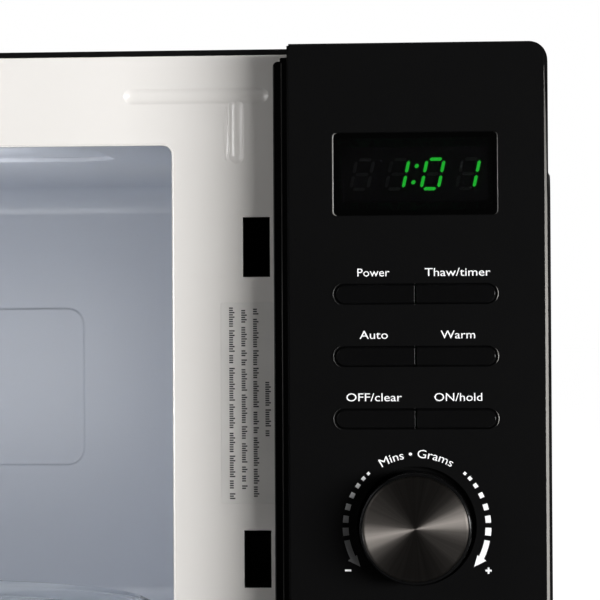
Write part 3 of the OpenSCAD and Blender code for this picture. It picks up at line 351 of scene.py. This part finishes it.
finishes = {
    made.name: made.material
    for made in (
        powder_coat(),
        cream_paint(),
        cavity_enamel(),
        galvanised(),
        brushed("steel", (0.62, 0.62, 0.63), 0.28, (60, 60, 2500)),
        brushed("aluminium", (0.72, 0.73, 0.74), 0.34, (2200, 80, 80)),
        moulded("black_plastic", (0.0025, 0.0025, 0.0026), 0.55, 1700, 0.00004, 0.0004,
                Specular_IOR_Level=0.025),
        moulded("black_gloss", (0.0022, 0.0022, 0.0023), 0.16, 1200, 0.000004, 0.0003,
                Specular_IOR_Level=0.16),
        smoked_lens(),
        glow("led_green", (0.02, 0.62, 0.05), 1.4),
        moulded("grey_plastic", (0.045, 0.046, 0.05), 0.5),
        moulded("white_plastic", (0.72, 0.72, 0.68), 0.42, 900, 0.00003),
        circuit_board(),
        mica(),
        laminations(),
        copper(),
        glass("clear_glass", (0.975, 0.99, 0.985), 0.12, 1.1),
        glass("smoked_glass", (0.10, 0.105, 0.115), 0.03),
        glass("clear_film", (0.93, 0.94, 0.95), 0.12, 1.2),
        spun_metal(),
        rubber(),
        glass("lamp_glass", (0.97, 0.95, 0.88), 0.03),
    )
}
legend_ink = ink("legend_ink", (0.85, 0.85, 0.86)).material
notice_ink = ink("notice_ink", (0.02, 0.02, 0.021)).material
notice_film = moulded("notice_film", (0.735, 0.717, 0.69), 0.3, 60, 0.00002).material
lit_segment = glow("lit_segment", (0.03, 0.9, 0.06), 2.6).material
idle_segment = moulded("idle_segment", (0.32, 0.34, 0.32), 0.6).material
# Painted highlight: a dark grey, lighter than the black plastic, for the faint light lines on edges and
# beads.
painted_highlight_dim = moulded("painted_highlight_dim", (0.035, 0.034, 0.032), 0.35, Specular_IOR_Level=0.6).material
# Painted highlight: a light grey that stands in for the light that thin edges and lips catch.
painted_highlight_bright = fading_painted_highlight().material


def dress_cad_nodes():
    for piece in nodes.values():
        for place in piece.material_slots:
            place.material = finishes[place.material.name.split(".")[0]]


# ---------------------------------------------------------------- mesh helpers

def new_piece(name, mesh_maker, material, body):
    """A mesh object that rides on a body. mesh_maker fills an empty bmesh."""
    work = bmesh.new()
    mesh_maker(work)
    bmesh.ops.recalc_face_normals(work, faces=work.faces)
    mesh = bpy.data.meshes.new(name)
    work.to_mesh(mesh)
    work.free()
    mesh.materials.append(material)
    piece = bpy.data.objects.new(name, mesh)
    bpy.context.scene.collection.objects.link(piece)
    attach(piece, body)
    return piece


def prism(work, outline, y_back, thick):
    """Closed solid whose outline, a list of (x, z), faces the front."""
    back = [work.verts.new((x, y_back, z)) for x, z in outline]
    front = [work.verts.new((x, y_back - thick, z)) for x, z in outline]
    work.faces.new(back)
    work.faces.new(front)
    for i in range(len(outline)):
        j = (i + 1) % len(outline)
        work.faces.new((back[i], back[j], front[j], front[i]))


def shade_points(piece, shade_of=lambda place: 1.0):
    """Stores the ink's shade on each point of a mesh. shade_of takes the point's place."""
    attribute = piece.data.attributes.new("shade", "FLOAT", "POINT")
    for vertex, value in zip(piece.data.vertices, attribute.data):
        value.value = shade_of(vertex.co)


def loft(work, rings, closed=True):
    """Skin over equal rings of points. A closed loft joins its last ring to its first."""
    made = [[work.verts.new(point) for point in ring] for ring in rings]
    count = len(made[0])
    for a in range(len(made) if closed else len(made) - 1):
        ring, following = made[a], made[(a + 1) % len(made)]
        for i in range(count):
            j = (i + 1) % count
            work.faces.new((ring[i], ring[j], following[j], following[i]))
    if not closed:
        work.faces.new(made[0])
        work.faces.new(list(reversed(made[-1])))


def smooth(piece):
    for face in piece.data.polygons:
        face.use_smooth = True


def rounded_path(low, high, radius, steps=8):
    """Points (x, z, outward x, outward z) round a rectangle with rounded corners."""
    corners = [
        (high[0] - radius, high[1] - radius, 0), (low[0] + radius, high[1] - radius, 90),
        (low[0] + radius, low[1] + radius, 180), (high[0] - radius, low[1] + radius, 270),
    ]
    path = []
    for x, z, start in corners:
        for i in range(steps + 1):
            angle = math.radians(start + 90 * i / steps)
            out_x, out_z = math.cos(angle), math.sin(angle)
            path.append((x + radius * out_x, z + radius * out_z, out_x, out_z))
    return path


def rounded_outline(low, high, radius, steps=4):
    """Points (x, z) round a rectangle with rounded corners."""
    return [(x, z) for x, z, _, _ in rounded_path(low, high, radius, steps)]


def wire_ring(x, y, z, out_x, out_z, radius, sides):
    """Points round a wire at (x, y, z), in the plane of the Y axis and the outward direction."""
    ring = []
    for i in range(sides):
        angle = 2 * math.pi * i / sides
        across = radius * math.cos(angle)
        ring.append((x + out_x * across, y + radius * math.sin(angle), z + out_z * across))
    return ring


# ---------------------------------------------------------------- front plate's small parts

liner_low, liner_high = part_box("cavity_liner")
LINER_FLANGE = 7 * MM
MOUTH_LOW = (liner_low.x + LINER_FLANGE, liner_low.z + LINER_FLANGE)
MOUTH_HIGH = (liner_high.x - LINER_FLANGE, liner_high.z - LINER_FLANGE)
MOUTH_RADIUS = 4 * MM


def mouth_bead():
    """Rolled edge round the cavity's mouth."""
    radius = 0.42 * MM
    sunk = 0.1 * MM
    sides = 10

    def fill(work):
        loft(work, [
            wire_ring(x, PLATE_Y + sunk, z, out_x, out_z, radius, sides)
            for x, z, out_x, out_z in rounded_path(MOUTH_LOW, MOUTH_HIGH, MOUTH_RADIUS)
        ])

    smooth(new_piece("mouth_bead", fill, finishes["front_paint"], "cabinet"))


def rib_shoulder():
    """Long shallow swelling of the sheet beside the upright rib, pointed at both ends."""
    x = plate_high.x - 120.6 * MM
    low_z, high_z = plate_high.z - 40.5 * MM, plate_high.z - 19.5 * MM
    half_width, rise = 0.9 * MM, 0.3 * MM
    sunk = 0.2 * MM
    fullness, tip_share = 0.45, 0.03
    steps, sides = 24, 9

    def fill(work):
        rings = []
        for i in range(steps + 1):
            along = i / steps
            swell = max(tip_share, math.sin(math.pi * along) ** fullness)
            z = low_z + (high_z - low_z) * along
            ring = []
            for j in range(sides):
                angle = math.pi * j / (sides - 1)
                out, up = math.cos(angle), math.sin(angle)
                ring.append((x + half_width * swell * out, PLATE_Y - rise * swell * up, z))
            ring.append((x - half_width * swell, PLATE_Y + sunk, z))
            ring.append((x + half_width * swell, PLATE_Y + sunk, z))
            rings.append(ring)
        loft(work, rings, closed=False)

    smooth(new_piece("rib_shoulder", fill, finishes["front_paint"], "cabinet"))


def bar(work, x0, x1, z0, z1, y_back, thick):
    """Flat rectangle of a given thickness, facing the front."""
    prism(work, [(x0, z0), (x1, z0), (x1, z1), (x0, z1)], y_back, thick)


def door_side_notice():
    """Clear notice label between the latch slots, with rows of plain ticks where a notice has its lines."""
    right = panel_low.x - 0.6 * MM
    left = right - 20.8 * MM
    bottom, top = plate_high.z - 171.5 * MM, plate_high.z - 94.5 * MM
    corner, film, print_thick = 1.2 * MM, 0.05 * MM, 0.02 * MM
    middle_z = (bottom + top) / 2

    def sheet(work):
        prism(work, rounded_outline((left, bottom), (right, top), corner), PLATE_Y, film)

    new_piece("notice_film", sheet, notice_film, "cabinet")
    # In mm: distance from the label's right edge, start and end along the row, lengths that repeat
    rows = (
        (3.0, -8.0, 12.5, (9.0, 6.5)),
        (7.6, -36.0, 35.5, (2.4, 10.5, 5.2, 3.6, 10.2, 4.4)),
        (12.1, -35.5, 33.0, (5.0, 7.4, 2.0, 2.2, 8.2, 10.6)),
        (16.8, -36.5, 36.5, (7.2, 8.0, 3.4, 12.4, 9.4)),
    )
    word_gap = 1.5
    tick_foot, tick_step, tick_wide = 0.75, 0.86, 0.52
    tick_heights = (1.5, 1.5, 2.1, 1.5, 2.1, 1.5, 1.5)

    def dashes(work):
        for place, start, end, lengths in rows:
            at, i, ticks = start, 0, 0
            while at < end:
                stop = min(end, at + lengths[i % len(lengths)])
                while at < stop:
                    x0 = right - (place + tick_foot) * MM
                    x1 = x0 + tick_heights[ticks % len(tick_heights)] * MM
                    z1 = middle_z - at * MM
                    bar(work, x0, x1, z1 - tick_wide * MM, z1, PLATE_Y - film, print_thick)
                    at += tick_step
                    ticks += 1
                at = stop + word_gap
                i += 1

    piece = new_piece("notice_dashes", dashes, notice_ink, "cabinet")
    shade_points(piece)


# ---------------------------------------------------------------- display digits

DIGIT_PITCH = 13.0 * MM
DIGIT_WIDE = 6.3 * MM
DIGIT_TALL = 10.85 * MM
STROKE = 1.2 * MM
SLANT = math.tan(math.radians(12))
# Segment: its place from the digit's middle, in half widths and half heights, and its kind
SEGMENTS = {
    "a": (0, 1, "flat"), "g": (0, 0, "flat"), "d": (0, -1, "flat"),
    "f": (-1, 0.5, "tall"), "b": (1, 0.5, "tall"), "e": (-1, -0.5, "tall"), "c": (1, -0.5, "tall"),
}
DIGITS = {"0": "abcdef", "1": "bc"}


def segment(kind):
    """Outline of one segment about its own middle, with tapered ends."""
    half = STROKE / 2
    if kind == "flat":
        long = DIGIT_WIDE / 2 - 0.85 * MM
    else:
        long = DIGIT_TALL / 4 - 0.55 * MM
    taper = 0.8 * half
    outline = [(-long, 0), (-long + taper, half), (long - taper, half), (long, 0),
               (long - taper, -half), (-long + taper, -half)]
    return outline if kind == "flat" else [(-z, x) for x, z in outline]


def display_digits():
    reading = (" ", "1", "0", "1")
    low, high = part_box("led_segments")
    y_back = high.y
    thick = 0.25 * MM
    centre_z = (low.z + high.z) / 2
    dot_radius, dot_height = 0.78 * MM, 3.0 * MM

    def leaned(x, z):
        return FACE_CENTRE_X + x + SLANT * z, centre_z + z

    def dot(side):
        turns = [math.radians(a) for a in range(0, 360, 20)]
        return [
            leaned(dot_radius * math.cos(turn), side * dot_height + dot_radius * math.sin(turn))
            for turn in turns
        ]

    def fill(lit):
        def segments(work):
            for place, digit in enumerate(reading):
                x = (place - 1.5) * DIGIT_PITCH
                for name, (u, v, kind) in SEGMENTS.items():
                    if (name in DIGITS.get(digit, "")) != lit:
                        continue
                    middle_x, middle_z = x + u * DIGIT_WIDE / 2, v * DIGIT_TALL / 2
                    outline = [leaned(middle_x + a, middle_z + b) for a, b in segment(kind)]
                    prism(work, outline, y_back, thick)
            if lit:
                for side in (-1, 1):
                    prism(work, dot(side), y_back, thick)
        return segments

    lit = new_piece("display_lit", fill(True), lit_segment, "cabinet")
    new_piece("display_idle", fill(False), idle_segment, "cabinet")
    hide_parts("led_segments")


# ---------------------------------------------------------------- control panel's edges

def edging(name, x, y, low_z, high_z, radius, material):
    """Thin round bead along an upright edge."""
    sides = 12

    def fill(work):
        loft(work, [wire_ring(x, y, z, 1, 0, radius, sides) for z in (low_z, high_z)], closed=False)

    smooth(new_piece(name, fill, material, "cabinet"))


def panel_edges():
    low_z, high_z = panel_low.z + 4 * MM, panel_high.z - 5.6 * MM
    bead = 0.3 * MM
    # Each step's edge: distance from the panel's left, and in front of the plate or behind the face
    steps = (
        ("edge_outer_step", panel_low.x + 0.2 * MM, PLATE_Y - 9.8 * MM),
        ("edge_inner_step", panel_low.x + 4.3 * MM, PLATE_Y - 23.8 * MM),
        ("edge_face", panel_low.x + 8.1 * MM, FACE_Y + 0.5 * MM),
    )
    # Beads that carry painted highlight lines along the steps' edges.
    for name, x, y in steps:
        edging(name, x, y, low_z, high_z, bead, painted_highlight_dim)

    chamfer, uncovered = 1.4 * MM, 0.35 * MM
    reach = chamfer - uncovered
    skin = 0.06 * MM
    # Distance below the panel's top in mm, and the share of the reach that is covered there
    tapers = ((108, 1.0), (60, 0.9), (28, 0.55), (9, 0.12))

    def strip(work):
        x0 = panel_high.x - chamfer
        rings = []
        for below, share in tapers:
            z = panel_high.z - below * MM
            x1 = x0 + reach * share
            y1 = FACE_Y + reach * share
            rings.append([(x0 + skin, FACE_Y, z), (x1 + skin, y1, z), (x1 - skin, y1 + 2 * skin, z),
                          (x0 - skin, FACE_Y + 2 * skin, z)])
        low_end = [(x, y, panel_low.z + 1 * MM) for x, y, _ in rings[0]]
        loft(work, [low_end] + rings, closed=False)

    # A skin on the right chamfer in painted highlight, fading toward the panel's top.
    new_piece("painted_highlight_strip_right", strip, painted_highlight_bright, "cabinet")


def window_bead():
    """Fine bead on the two upright sides of the display's recess, fading out round the corners."""
    sides = 8
    inset, lens_gap, corner = 0.15 * MM, 0.2 * MM, 1.5 * MM
    least_share = 0.15
    low = (lens_low.x - lens_gap + inset, lens_low.z - lens_gap + inset)
    high = (lens_high.x + lens_gap - inset, lens_high.z + lens_gap - inset)
    path = rounded_path(low, high, corner)
    half = len(path) // 2
    quarter = len(path) // 4

    def arc(points, thick):
        def fill(work):
            loft(work, [
                wire_ring(x, FACE_Y + thick, z, out_x, out_z, thick * max(least_share, abs(out_x)), sides)
                for x, z, out_x, out_z in points
            ], closed=False)
        return fill

    left = path[quarter:quarter + half]
    right = path[quarter + half:] + path[:quarter]
    # The left bead is painted as a bright highlight and the right one as a dim highlight.
    smooth(new_piece("window_bead_left", arc(left, 0.3 * MM), painted_highlight_bright, "cabinet"))
    smooth(new_piece("window_bead_right", arc(right, 0.22 * MM), painted_highlight_dim, "cabinet"))


# ---------------------------------------------------------------- door screen and rear plate

def door_screen():
    """Perforated screen in the door's window: hexagonal holes in a thin plate, made shut and swung open."""
    hinge_low, hinge_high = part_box("hinge_upper")
    pin_behind_lug_front = 6 * MM
    open_degrees = 100
    axis = Vector(((hinge_low.x + hinge_high.x) / 2, hinge_low.y + pin_behind_lug_front, 0))
    swing = Matrix.Rotation(math.radians(-open_degrees), 4, "Z")
    margin_x, margin_z = 28 * MM, 22 * MM
    x0, x1 = MOUTH_LOW[0] + margin_x, MOUTH_HIGH[0] - margin_x
    z0, z1 = MOUTH_LOW[1] + margin_z, MOUTH_HIGH[1] - margin_z
    plate_gap, thick = 1.2 * MM, 0.5 * MM
    y_back = PLATE_Y - plate_gap
    pitch = 5 * MM
    outer, inner = pitch / math.sqrt(3), 0.37 * pitch
    row_step = pitch * math.sqrt(3) / 2

    def place(x, y, z):
        return swing @ (Vector((x, y, z)) - axis) + axis

    def hexagon(work, cx, y, cz, reach):
        turns = [math.radians(60 * k) for k in range(6)]
        return [
            work.verts.new(place(cx + reach * math.sin(turn), y, cz + reach * math.cos(turn)))
            for turn in turns
        ]

    def fill(work):
        for row in range(int((z1 - z0) / row_step)):
            for column in range(int((x1 - x0) / pitch)):
                cx = x0 + pitch * (column + (0.75 if row % 2 else 0.25))
                cz = z0 + outer + row_step * row
                layers = [
                    [hexagon(work, cx, y, cz, reach) for reach in (outer, inner)]
                    for y in (y_back - thick, y_back)
                ]
                for k in range(6):
                    j = (k + 1) % 6
                    for rings in layers:
                        work.faces.new((rings[0][k], rings[0][j], rings[1][j], rings[1][k]))
                    work.faces.new((layers[0][1][k], layers[0][1][j], layers[1][1][j], layers[1][1][k]))
        bmesh.ops.remove_doubles(work, verts=work.verts, dist=0.01 * MM)

    screen = new_piece("door_screen_holes", fill, finishes["grey_plastic"], "door")
    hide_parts("door_screen")


def latch_spring():
    """Coil spring over the latch bar, built at one fixed length."""
    low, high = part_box("latch_spring")
    centre_x, centre_y = (low.x + high.x) / 2, (low.y + high.y) / 2
    wire = 0.4 * MM
    radius = (high.x - low.x) / 2 - wire
    turns, steps_per_turn, sides = 7, 16, 8
    travel, top_gap = 4 * MM, 0.1 * MM
    length = high.z - low.z - top_gap

    def fill(work):
        rings = []
        for step in range(turns * steps_per_turn + 1):
            angle = 2 * math.pi * step / steps_per_turn
            z = low.z + wire + (length - 2 * wire) * step / (turns * steps_per_turn)
            ring = []
            for i in range(sides):
                turn = 2 * math.pi * i / sides
                reach = radius + wire * math.cos(turn)
                ring.append((centre_x + reach * math.cos(angle), centre_y + reach * math.sin(angle),
                             z + wire * math.sin(turn)))
            rings.append(ring)
        loft(work, rings, closed=False)

    spring = new_piece("latch_spring_coil", fill, finishes["steel"], "latch")
    smooth(spring)
    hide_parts("latch_spring")
    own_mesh(spring)


def rear_plate():
    """Blank rating plate on the back, with plain dashes for its lines."""
    back_low, back_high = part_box("rear_panel")
    left, right = back_low.x + 60 * MM, back_low.x + 150 * MM
    bottom, top = back_low.z + 70 * MM, back_low.z + 120 * MM
    corner, film, print_thick = 2 * MM, 0.1 * MM, 0.02 * MM
    # In mm: each dash's length, the first one's distance below the plate's top, and the rest
    lengths = (70, 54, 64, 38, 60, 46)
    first_row, row_pitch, side_margin, half_height = 8, 7, 8, 0.8

    def sheet(work):
        prism(work, rounded_outline((left, bottom), (right, top), corner), back_high.y + film, film)

    new_piece("rear_plate", sheet, notice_film, "cabinet")

    def dashes(work):
        x1 = right - side_margin * MM
        for row, length in enumerate(lengths):
            z = top - (first_row + row * row_pitch) * MM
            bar(work, x1 - length * MM, x1, z - half_height * MM, z + half_height * MM,
                back_high.y + film + print_thick, print_thick)

    piece = new_piece("rear_plate_dashes", dashes, notice_ink, "cabinet")
    shade_points(piece)


# ---------------------------------------------------------------- printed legends

CAP_HEIGHT = 3.1 * MM
INK_THICK = 0.04 * MM
# A capital's height as a share of the letters' size
CAP_SHARE = 0.729


def lettering(text, width, height=CAP_HEIGHT):
    """Mesh of a generic word, with its baseline on X and its middle at the origin, facing -Y."""
    curve = bpy.data.curves.new(text, "FONT")
    curve.body = text
    curve.align_x = "CENTER"
    curve.resolution_u = 3
    curve.extrude = INK_THICK / 2 / (height / CAP_SHARE)
    letters = bpy.data.objects.new(text, curve)
    bpy.context.scene.collection.objects.link(letters)
    bpy.context.view_layer.update()
    mesh = bpy.data.meshes.new_from_object(letters.evaluated_get(bpy.context.evaluated_depsgraph_get()))
    bpy.data.objects.remove(letters)
    bpy.data.curves.remove(curve)
    across = [v.co.x for v in mesh.vertices]
    size = height / CAP_SHARE
    squeeze = width / (max(across) - min(across))
    centre = (max(across) + min(across)) / 2
    for v in mesh.vertices:
        v.co = Vector(((v.co.x - centre) * squeeze, -v.co.z * size, v.co.y * size))
    return mesh


def legend_piece(name, mesh):
    """Puts a word's mesh on the panel's face, in ink."""
    for v in mesh.vertices:
        v.co.y += FACE_Y - INK_THICK / 2
    mesh.materials.clear()
    mesh.materials.append(legend_ink)
    piece = bpy.data.objects.new(name, mesh)
    bpy.context.scene.collection.objects.link(piece)
    shade_points(piece)
    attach(piece, "cabinet")


def button_gleams():
    """Fine lips round the ends of each pair of buttons, painted as highlights: bright at the right ends,
    dim at the left.
    """
    pairs = (("micro", "defrost"), ("menu", "reheat"), ("stop", "start"))
    steps, sides = 14, 6
    sunk, inset, least_share = 0.1 * MM, 0.25 * MM, 0.12
    cap_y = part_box("button_micro")[0].y + sunk

    def lip(centre_x, centre_z, radius, facing, half_angle, thick):
        def fill(work):
            rings = []
            for i in range(steps + 1):
                along = 2 * i / steps - 1
                angle = math.radians(half_angle) * along
                swell = thick * max(least_share, 1 - along * along)
                out_x, out_z = facing * math.cos(angle), math.sin(angle)
                rings.append(wire_ring(centre_x + out_x * radius, cap_y, centre_z + out_z * radius,
                                       out_x, out_z, swell, sides))
            loft(work, rings, closed=False)
        return fill

    for left_key, right_key in pairs:
        left_low, left_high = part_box("button_" + left_key)
        right_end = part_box("button_" + right_key)[1].x
        half = (left_high.z - left_low.z) / 2
        radius = half - inset
        centre_z = (left_high.z + left_low.z) / 2
        right_lip = lip(right_end - half, centre_z, radius, 1, half_angle=42, thick=0.17 * MM)
        left_lip = lip(left_low.x + half, centre_z, radius, -1, half_angle=68, thick=0.14 * MM)
        # The right lips take the bright painted highlight, the left ones the dim one.
        for side, key, fill, material in (
            ("right", right_key, right_lip, painted_highlight_bright), ("left", left_key, left_lip, painted_highlight_dim),
        ):
            smooth(new_piece("lip_" + side + "_" + right_key, fill, material, key + "_key"))


def button_legends():
    rise = 6.5 * MM
    # Word over each button, and its width in mm
    words = {
        "button_micro": ("Power", 11.8),
        "button_defrost": ("Thaw/timer", 24.0),
        "button_menu": ("Auto", 10.4),
        "button_reheat": ("Warm", 12.6),
        "button_stop": ("OFF/clear", 20.4),
        "button_start": ("ON/hold", 17.5),
    }
    for node, (word, width) in words.items():
        place = middle(node)
        mesh = lettering(word, width * MM)
        for v in mesh.vertices:
            v.co.x += place.x
            v.co.z += place.z + rise
        legend_piece("legend_" + node.split("_")[1], mesh)


def knob_legend():
    """A line of lettering bent round the knob."""
    radius, width, height = 25.0 * MM, 26.4 * MM, 3.2 * MM
    mesh = lettering("Mins • Grams", width, height)
    for v in mesh.vertices:
        angle = v.co.x / radius
        reach = radius + v.co.z
        v.co.x = KNOB_X + reach * math.sin(angle)
        v.co.z = KNOB_Z + reach * math.cos(angle)
    legend_piece("legend_knob", mesh)


def around_knob(side, degrees, reach):
    """A point at an angle from the top of the knob, clockwise on the right (side 1)."""
    angle = math.radians(degrees)
    return KNOB_X + side * reach * math.sin(angle), KNOB_Z + reach * math.cos(angle)


def dial_marks():
    """Seven growing dashes and an arrow on each side of the knob."""
    track = 26.15 * MM
    first_angle, first_step, step_growth, last_step = 42.5, 5.7, 1.6, 10.0
    dashes = 7
    # In mm: first dash's length and width, and how much the last one has gained
    first_size, gain = 1.1, (1.8, 1.1)

    def dash(work, side, at, long, wide):
        half = math.degrees(long / 2 / track)
        steps = 4
        angles = [at - half + 2 * half * i / steps for i in range(steps + 1)]
        outline = [around_knob(side, a, track + wide / 2) for a in angles]
        outline += [around_knob(side, a, track - wide / 2) for a in reversed(angles)]
        prism(work, outline, FACE_Y, INK_THICK)

    def arrow(work, side):
        start, neck, tip, sweep = 101.4, 116.0, 125.5, 0.6
        steps = 8
        # Distances from the track's middle line
        shaft_out, shaft_in, barb_out, barb_in, tip_in = 1.05 * MM, 1.0 * MM, 2.1 * MM, 1.7 * MM, 0.6 * MM
        angles = [start + (neck - start) * i / steps for i in range(steps + 1)]
        outline = [around_knob(side, a, track + shaft_out) for a in angles]
        outline.append(around_knob(side, neck + sweep, track + barb_out))
        outline.append(around_knob(side, tip, track - tip_in))
        outline.append(around_knob(side, neck - sweep, track - barb_in))
        outline += [around_knob(side, a, track - shaft_in) for a in reversed(angles)]
        prism(work, outline, FACE_Y, INK_THICK)

    def marks(side):
        def fill(work):
            at, step = first_angle, first_step
            for i in range(dashes):
                grown = i / (dashes - 1)
                long, wide = ((first_size + more * grown) * MM for more in gain)
                dash(work, side, at, long, wide)
                at += step
                step = min(last_step, step + step_growth)
            arrow(work, side)
        return fill

    def darker_toward_bottom(place):
        """The left marks grow darker towards their lower end."""
        darkest, fade_start, fade_height = 0.10, KNOB_Z - 4 * MM, 22 * MM
        share = min(1, max(0, (place.z - fade_start) / fade_height))
        return darkest + (1 - darkest) * share ** 2

    right_marks = new_piece("dial_marks_right", marks(1), legend_ink, "cabinet")
    shade_points(right_marks)
    left_marks = new_piece("dial_marks_left", marks(-1), legend_ink, "cabinet")
    shade_points(left_marks, darker_toward_bottom)


def sign(name, x, arms):
    """Minus or plus sign beside the knob."""
    z = KNOB_Z - 16.2 * MM
    long, thick = 1.15 * MM, 0.36 * MM

    def fill(work):
        if arms == 1:
            bar(work, x - long, x + long, z - thick, z + thick, FACE_Y, INK_THICK)
            return
        corners = []
        for turn in range(4):
            c, s = math.cos(math.radians(90 * turn)), math.sin(math.radians(90 * turn))
            for u, v in ((long, -thick), (long, thick), (thick, thick)):
                corners.append((x + u * c - v * s, z + u * s + v * c))
        prism(work, corners, FACE_Y, INK_THICK)

    piece = new_piece(name, fill, legend_ink, "cabinet")
    shade_points(piece)


# ---------------------------------------------------------------- camera and light

def aim(thing, target):
    """Turns an object so that its -Z axis points at the target, with its Y axis up."""
    direction = Vector(target) - thing.location
    thing.rotation_mode = "QUATERNION"
    thing.rotation_quaternion = direction.to_track_quat("-Z", "Y")


def make_camera():
    sensor, focal_length = 36, 162.3
    place, target = (0.2215, -1.210, 0.1717), (0.1453, PLATE_Y, 0.1850)
    roll = Matrix.Rotation(math.radians(-0.3), 3, "Z").to_quaternion()
    data = bpy.data.cameras.new("camera")
    data.sensor_width = sensor
    data.lens = focal_length
    camera = bpy.data.objects.new("camera", data)
    camera.location = place
    aim(camera, target)
    camera.rotation_quaternion = camera.rotation_quaternion @ roll
    bpy.context.scene.collection.objects.link(camera)
    bpy.context.scene.camera = camera


def soft_light(name, place, target, size, power):
    data = bpy.data.lights.new(name, "AREA")
    data.shape = "RECTANGLE"
    data.size, data.size_y = size
    data.energy = power
    lamp = bpy.data.objects.new(name, data)
    lamp.location = place
    lamp.visible_camera = False
    aim(lamp, target)
    bpy.context.scene.collection.objects.link(lamp)


def make_world():
    """White to the camera. To everything else dark in front, and lighter towards the back."""
    front, back = 0.03, 0.6
    world = bpy.data.worlds.new("world")
    bpy.context.scene.world = world
    world.use_nodes = True
    tree = world.node_tree
    background = next(n for n in tree.nodes if n.type == "BACKGROUND")
    background.inputs["Strength"].default_value = 1.0
    direction = tree.nodes.new("ShaderNodeTexCoord").outputs["Generated"]
    split = tree.nodes.new("ShaderNodeSeparateXYZ")
    tree.links.new(direction, split.inputs[0])
    ramp = tree.nodes.new("ShaderNodeMapRange")
    tree.links.new(split.outputs["Y"], ramp.inputs["Value"])
    ramp.inputs["From Min"].default_value = 0.0
    ramp.inputs["From Max"].default_value = 0.6
    ramp.inputs["To Min"].default_value = front
    ramp.inputs["To Max"].default_value = back
    seen = tree.nodes.new("ShaderNodeLightPath").outputs["Is Camera Ray"]
    pick = tree.nodes.new("ShaderNodeMix")
    tree.links.new(seen, pick.inputs["Factor"])
    tree.links.new(ramp.outputs["Result"], pick.inputs["A"])
    pick.inputs["B"].default_value = 1.0
    tree.links.new(pick.outputs["Result"], background.inputs["Color"])


def make_floor():
    """Pale floor, a little below the feet, which the camera sees nearly white."""
    half_size, below = 30, 0.2 * MM
    made = Maker("floor", (0.25, 0.25, 0.25), 0.7, Emission_Color=(1.0, 1.0, 1.0, 1.0),
                 Specular_IOR_Level=0.2)
    made.tint(made.noise(3), (0.24, 0.24, 0.24), (0.26, 0.26, 0.26))
    seen = made.node("ShaderNodeLightPath").outputs["Is Camera Ray"]
    made.link(made.between(seen, 0.0, 0.9), made.shader.inputs["Emission Strength"])
    work = bmesh.new()
    bmesh.ops.create_grid(work, x_segments=2, y_segments=2, size=half_size)
    mesh = bpy.data.meshes.new("floor")
    work.to_mesh(mesh)
    work.free()
    mesh.materials.append(made.material)
    floor = bpy.data.objects.new("floor", mesh)
    floor.location.z = -below
    bpy.context.scene.collection.objects.link(floor)


def make_studio():
    """Two soft boxes and a light overhead, with two small lights in the cavity's mouth."""
    make_world()
    make_floor()
    cavity_x = (liner_low.x + liner_high.x) / 2
    cavity_z = 0.15
    mouth_y = plate_high.y + 12 * MM
    ceiling_z = liner_high.z - LINER_FLANGE
    under_ceiling = (cavity_x, plate_high.y + 32 * MM, ceiling_z - 32 * MM)
    on_ceiling = (cavity_x, plate_high.y + 24 * MM, ceiling_z)
    # Name, place, target, width and height, power in watts
    lights = (
        ("right_softbox", (1.40, -1.63, 0.20), (0.12, -0.2, 0.17), (1.35, 0.34), 52),
        ("left_softbox", (-1.5, -1.6, 0.9), (0.05, -0.2, 0.15), (1.2, 1.2), 11),
        ("overhead", (0.0, 0.7, 2.4), (0.0, 0.1, 0.2), (2.5, 1.8), 20),
        ("cavity_lamp", (cavity_x, mouth_y, cavity_z), (cavity_x, 1.0, cavity_z), (0.13, 0.10), 0.12),
        ("ceiling_lamp", under_ceiling, on_ceiling, (0.15, 0.03), 0.06),
    )
    for light in lights:
        soft_light(*light)
    bpy.context.scene.view_settings.view_transform = "Standard"


make_camera()
make_studio()
dress_cad_nodes()
mouth_bead()
rib_shoulder()
door_side_notice()
panel_edges()
window_bead()
display_digits()
door_screen()
latch_spring()
rear_plate()
button_gleams()
button_legends()
knob_legend()
dial_marks()
sign("dial_minus", KNOB_X - 25.3 * MM, arms=1)
sign("dial_plus", KNOB_X + 26.1 * MM, arms=2)
